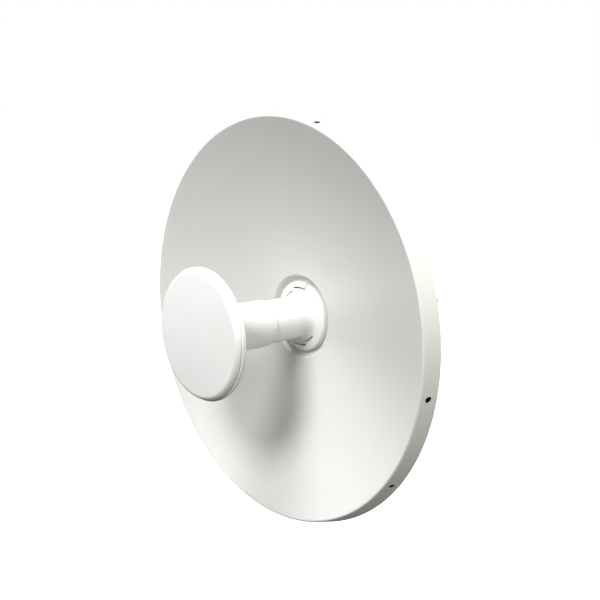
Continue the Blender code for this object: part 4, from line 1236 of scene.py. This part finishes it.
def makeHousing():
    half, low, high = housing["halfWidth"], housing["low"], housing["high"]
    front, rear, wall = housing["front"], housing["rear"], housing["wall"]
    outer = prism("rearHousing", roundedBox(-half, half, low, high, 16.0), "Y", front, rear, 10)
    outer = bevelled(outer, housing["edge"], 4)
    hollow = prism("hollow", roundedBox(wall - half, half - wall, low + wall, high - wall, 13.0),
                   "Y", front - 3, rear - wall, 8)
    mesh = carved(outer, [hollow])
    x = port["x"]
    for spot in (x - 12.5, x + 12.5):
        mesh = carved(mesh, [block("hingeBlock", (spot - 3.5, spot + 3.5), (55, 59),
                                   (port["hingeZ"], low + 1))], "UNION")
        mesh = carved(mesh, [rod("knuckle", (0, port["hingeDepth"], port["hingeZ"]),
                                 port["knuckle"], "X", spot - 3.5, spot + 3.5, 32)], "UNION")
    cuts = [block("portOpening", (x - 11.5, x + 11.5), (74, 92.5), (-40, -30)),
            rod("buttonHole", (x, 68.0, 0), 2.1, "Z", -40, -30),
            rod("lightHole", (-12, 0, 20), 2.5, "Y", 90, 100),
            rod("pinHole", (0, port["hingeDepth"], port["hingeZ"]), 1.5, "X", -20, 24)]
    cuts += [rod("drill", (spotX, 0, spotZ), 1.9, "Y", 80, 100) for spotX, spotZ in housingScrews]
    mesh = carved(mesh, cuts)
    outline = [(1.9, front + 4), (4.2, front + 4), (4.2, rear - 1.2), (1.9, rear - 1.2)]
    posts = [turned("post", outline, 32, (spotX, 0, spotZ)) for spotX, spotZ in housingScrews]
    first = -(housing["ribs"] - 1) / 2 * housing["ribPitch"]
    ribs = row("grey_plastic", housing["ribs"], (first, rear + 0.1, -6.0),
               (housing["ribPitch"], 0, 0), housing["ribSize"])
    sides = [row("grey_plastic", 6, (side * half, 62.0, -1.0), (0, 5.0, 0),
                 (1.2, 1.5, 34.0)) for side in (-1, 1)]
    top = row("grey_plastic", 6, (0, 62.0, high), (0, 5.0, 0), (36.0, 1.5, 1.2))
    whole = merged([mesh, *posts, ribs, *sides, top], "rearHousing")
    addPiece("rearHousing", whole, ["rear_housing"], 35.0)


def makeCover():
    x = port["x"]
    mesh = prism("portCover", roundedBox(x - 20, x + 20, 60.6, 95.5, 4.5), "Z", -39.5, -37.3, 6)
    mesh = bevelled(mesh, 0.5, 3)
    tongue = block("tongue", (x - 8, x + 8), (port["hingeDepth"], 62), (-39.5, -37.6))
    mesh = carved(mesh, [tongue], "UNION")
    mesh = carved(mesh, [rod("knuckle", (0, port["hingeDepth"], port["hingeZ"]),
                             port["knuckle"], "X", x - 8, x + 8, 32)], "UNION")
    mesh = carved(mesh, [rod("pin", (0, port["hingeDepth"], port["hingeZ"]), 1.5, "X", -20, 24),
                         rod("cable", (x, port["depth"], 0), 6.0, "Z", -42, -35, 40)])
    grip = row("grey_plastic", 4, (x, 90.3, -39.5), (0, 1.5, 0), (13.0, 0.8, 0.9))
    addPiece("portCover", merged([mesh, grip], "portCover"), ["port_cover"], 35.0)
    outline = [(3.5, -41.2, 0.5), (7, -41.2, 0.5), (7.5, -40.7, 0.3), (7.5, -39.8, 0.3),
               (5.7, -39.8), (5.7, -37.0), (7.5, -37.0, 0.3), (7.5, -36.2, 0.3), (7, -35.8, 0.3),
               (3.5, -35.8, 0.5)]
    addPiece("cableGrommet", turned("cableGrommet", outline, 56, (x, port["depth"], 0), "Z"),
             ["cable_grommet"])


def makeSmallParts():
    half, low, high = housing["halfWidth"], housing["low"], housing["high"]
    x = port["x"]
    gasket = ringPrism("housingGasket", roundedBox(-half, half, low, high, 16.0),
                       roundedBox(2.5 - half, half - 2.5, low + 2.5, high - 2.5, 13.0), "Y",
                       52.3, 53.3, 10)
    addPiece("housingGasket", bevelled(gasket, 0.2), ["housing_gasket"])
    seal = ringPrism("coverSeal", roundedBox(x - 17, x + 17, 62, 95, 6.0),
                     roundedBox(x - 14, x + 14, 64.8, 93, 3.5), "Z", -37.0, -36.3)
    addPiece("coverSeal", bevelled(seal, 0.15), ["cover_seal"])
    pipe = [(0, 88), (3.6, 88, 0.3), (3.6, 93.2, 0.2), (2.2, 93.2, 0.1), (2.2, 96.9, 0.9),
            (0, 97.1)]
    addPiece("lightPipe", turned("lightPipe", pipe, 40, (-12, 0, 20)), ["light_pipe"])
    button = [(0, -36.0), (1.2, -36.2, 0.3), (1.7, -36.1, 0.3), (1.7, -33.1), (3, -33.1, 0.2),
              (3, -31.8, 0.2), (1.7, -31.8), (1.7, -20.4, 0.2), (0, -20.4)]
    addPiece("resetButton", turned("resetButton", button, 40, (x, 68.0, 0), "Z"),
             ["reset_button"])
    pin = [(0, -16.4), (1.2, -16.4, 0.3), (1.2, 16.4, 0.3), (0, 16.4)]
    addPiece("hingePin", turned("hingePin", pin, 32, (x, port["hingeDepth"], port["hingeZ"]),
                                "X"), ["hinge_pin"])


makeHubPlate()
makeHousing()
makeCover()
makeSmallParts()
print("hub plate, housing and cover made")


# the pole bracket and the jaw behind the pole

bracket = {"earInner": 50.5, "thick": 3.0, "web": 124.0, "webHalf": 36.0, "boltX": 36.0,
           "poleRadius": 25.0, "veeHalf": 30.0, "veeAngle": 60.0, "edge": 0.35,
           "notches": 9, "notchSize": 1.1, "ticks": 9}


def veeOutline(apex, sign, back):
    reach = bracket["veeHalf"] / math.tan(math.radians(bracket["veeAngle"]))
    tip, half = apex + sign * reach, bracket["veeHalf"]
    return [(-half - 2, back), (half + 2, back), (half + 2, tip, 0.8), (half, tip, 0.8),
            (0, apex), (-half, tip, 0.8), (-half - 2, tip, 0.8)]


def veeNotches(apex, sign, z):
    # rows of small cuts along both faces of a jaw, so that it bites the pole
    tall, half = bracket["thick"] / 2 + 0.5, bracket["notchSize"] / 2
    slope = math.radians(90.0 - bracket["veeAngle"])
    teeth = []
    for side in (-1, 1):
        for number in range(bracket["notches"]):
            reach = 4.0 + 25.0 * number / (bracket["notches"] - 1)
            tooth = block("notch", (-half, half), (poleDepth - half, poleDepth + half),
                          (-tall, tall))
            tooth.transform(Matrix.Rotation(math.radians(45) + side * sign * slope, 4, "Z"))
            tooth.transform(Matrix.Translation(place(side * reach, apex + sign * reach
                                                     * math.tan(slope), z)))
            teeth.append(tooth)
    return teeth


def makeBracket():
    outer, thick = bracket["earInner"] + bracket["thick"], bracket["thick"]
    web, tall = bracket["web"], bracket["webHalf"]
    back = web + thick
    channel = prism("poleBracket", [(-outer, 50), (-outer, back, 4.5), (outer, back, 4.5),
                    (outer, 50), (outer - thick, 50), (outer - thick, web, 1.6),
                    (thick - outer, web, 1.6), (thick - outer, 50)], "Z", -tall, tall, 6)
    lockDepth = tilt["depth"] - tilt["lockRadius"]
    side = arcPoints((lockDepth + 8, 0), plate["earHalf"] + 4, 250, 110, 24)
    side += [(web - 8, tall - 1.5, 5.0), (web + 1, tall, 1.0), (back + 2, tall),
             (back + 2, -tall), (web + 1, -tall, 1.0), (web - 8, 1.5 - tall, 5.0)]
    mesh = carved(channel, [prism("profile", side, "X", -60, 60)], "INTERSECT")
    apex = poleDepth - bracket["poleRadius"] / math.sin(math.radians(bracket["veeAngle"]))
    for z in (6 - tall, tall - 6):
        vee = prism("vee", veeOutline(apex, 1, back - 1), "Z", z - thick / 2, z + thick / 2)
        mesh = carved(mesh, [vee], "UNION")
    mesh = bevelled(mesh, bracket["edge"], 2)
    cuts = []
    for sign in (-1, 1):
        near, far = sorted((sign * (outer - thick - 1), sign * (outer + 1)))
        limit, reach = tilt["limit"] + 2, tilt["lockRadius"]
        pivot, half, slot = (tilt["depth"], 0), tilt["slotHalf"], []
        for way in (1, -1):
            slot += arcPoints(pivot, reach + way * half, 180 - way * limit, 180 + way * limit, 20)
            end = math.radians(180 + way * limit)
            middle = (tilt["depth"] + reach * math.cos(end), reach * math.sin(end))
            first = 180 + limit if way > 0 else -limit
            slot += arcPoints(middle, half, first, first + 180, 10)[1:-1]
        cuts.append(prism("tiltSlot", slot, "X", near, far))
        cuts.append(rod("pivotHole", (0, tilt["depth"], 0), 4.3, "X", near, far, 32))
        cuts.append(rod("boltHole", (sign * bracket["boltX"], 0, 0), 4.5, "Y", web - 1, back + 1,
                        32))
    mesh = carved(mesh, cuts)
    limit = math.radians(tilt["limit"])
    mesh = carved(mesh, [row("galvanised_steel", bracket["ticks"], (sign * outer, lockDepth - 7, 0),
                             (0, 0, 0), (0.5, 3.0, 0.55), False, (-limit, 0, 0),
                             (2 * limit / (bracket["ticks"] - 1), 0, 0),
                             place(sign * outer, tilt["depth"], 0)) for sign in (-1, 1)])
    for z in (6 - tall, tall - 6):
        mesh = carved(mesh, veeNotches(apex, 1, z))
    addPiece("poleBracket", mesh, ["pole_bracket"], 30.0)


def makeJaw():
    apex = poleDepth + bracket["poleRadius"] / math.sin(math.radians(bracket["veeAngle"]))
    front, thick = apex + 1, bracket["thick"]
    mesh = prism("clampJaw", roundedBox(-48, 48, -31, 31, 6.0), "Y", front, front + thick, 6)
    for z in (-24.5, 24.5):
        vee = prism("vee", veeOutline(apex, -1, front + 1), "Z", z - thick / 2, z + thick / 2)
        mesh = carved(mesh, [vee], "UNION")
    rib = [(-27, front + thick - 0.5), (27, front + thick - 0.5), (25.5, front + thick + 1.2, 0.8),
           (-25.5, front + thick + 1.2, 0.8)]
    for z in (-13.0, 13.0):
        mesh = carved(mesh, [prism("stiffener", rib, "Z", z - 2.5, z + 2.5)], "UNION")
    mesh = bevelled(mesh, bracket["edge"], 2)
    mesh = carved(mesh, [rod("hole", (sign * bracket["boltX"], 0, 0), 4.5, "Y", front - 1,
                             front + thick + 1, 32) for sign in (-1, 1)])
    for z in (-24.5, 24.5):
        mesh = carved(mesh, veeNotches(apex, -1, z))
    addPiece("clampJaw", mesh, ["clamp_jaw"], 30.0)


makeBracket()
makeJaw()
print("pole bracket and jaw made")


# the radio board and what stands on it

board = {"x": -6.0, "thick": 1.6, "front": -70.0, "rear": 92.0, "half": 17.0,
         "screwDepths": (-58.0, 30.0), "seed": 11, "density": 0.42}
jack = {"xs": (-4.9, 8.4), "depths": (75.2, 91.2), "zs": (-17.3, 3.7)}


def boardPartsTree():
    # small parts scattered over a patch of the board, on a fixed seed
    tree, get = startTree("boardParts", {
        "Length": "Float", "Height": "Float", "Across": "Int", "Along": "Int",
        "Density": "Float", "Seed": "Int", "Centre": "Vector", "Material": "Material"})
    start = Wire(tree)
    patch = start.node("GeometryNodeMeshGrid", None, {
        "Size X": get["Length"] / 1000.0, "Size Y": get["Height"] / 1000.0,
        "Vertices X": get["Across"], "Vertices Y": get["Along"]})
    patch = start.node("GeometryNodeTransform", None, {"Geometry": patch, "Rotation": (
        math.pi / 2, 0.0, math.pi / 2), "Translation": get["Centre"]})
    chosen = start.node("FunctionNodeRandomValue", {"data_type": "BOOLEAN"},
                        {"Probability": get["Density"], "Seed": get["Seed"]}, out=3)
    size = start.node("FunctionNodeRandomValue", {"data_type": "FLOAT_VECTOR"},
                      {0: (0.7, 0.7, 0.7), 1: (1.25, 2.4, 2.2), "Seed": get["Seed"] + 1}, out=0)
    chip = bar(start, 0.9, 1.1, 1.0)
    parts = start.node("GeometryNodeInstanceOnPoints", None, {"Points": patch,
                       "Selection": chosen, "Instance": chip, "Scale": size})
    return closeTree(tree, parts, get["Material"])


def makeBoard():
    x, half, tall = board["x"], board["thick"] / 2, board["half"]
    mesh = block("radioBoard", (x - half, x + half), (board["front"], board["rear"]),
                 (-tall, tall))
    mesh = bevelled(mesh, 0.15, 1)
    mesh = carved(mesh, [rod("drill", (0, depth, 0), 1.5, "X", x - 3, x + 3)
                         for depth in board["screwDepths"]])
    addPiece("radioBoard", mesh, ["radio_board"])
    values = {"Length": 60.0, "Height": 27.0, "Across": 20, "Along": 10,
              "Density": board["density"], "Seed": board["seed"],
              "Centre": place(x + half + 0.45, 40.0, 0)}
    chips = grown("boardParts", boardPartsTree(), values, finishes["black_plastic"])
    addPiece("boardParts", chips, [], 35.0, body="feed", slot="black_plastic")


def makeJack():
    x, depth = port["x"], port["depth"]
    mesh = bevelled(block("networkJack", jack["xs"], jack["depths"], jack["zs"]), 0.35, 2)
    mesh = carved(mesh, [block("mouth", (x - 3.4, x + 3.6), (depth - 5.9, depth + 5.9),
                               (-18, -4))])
    mesh = carved(mesh, [block("key", (x + 2, x + 5.2), (depth - 3.2, depth + 3.2), (-18, -6))])
    contacts = row("tinned_steel", 8, (x - 2.4, depth - 3.57, -8.5), (0, 1.02, 0),
                   (0.5, 0.45, 9.0))
    addPiece("networkJack", merged([mesh, contacts], "networkJack"), ["ethernet_jack"])


makeBoard()
makeJack()
print("board and jack made")
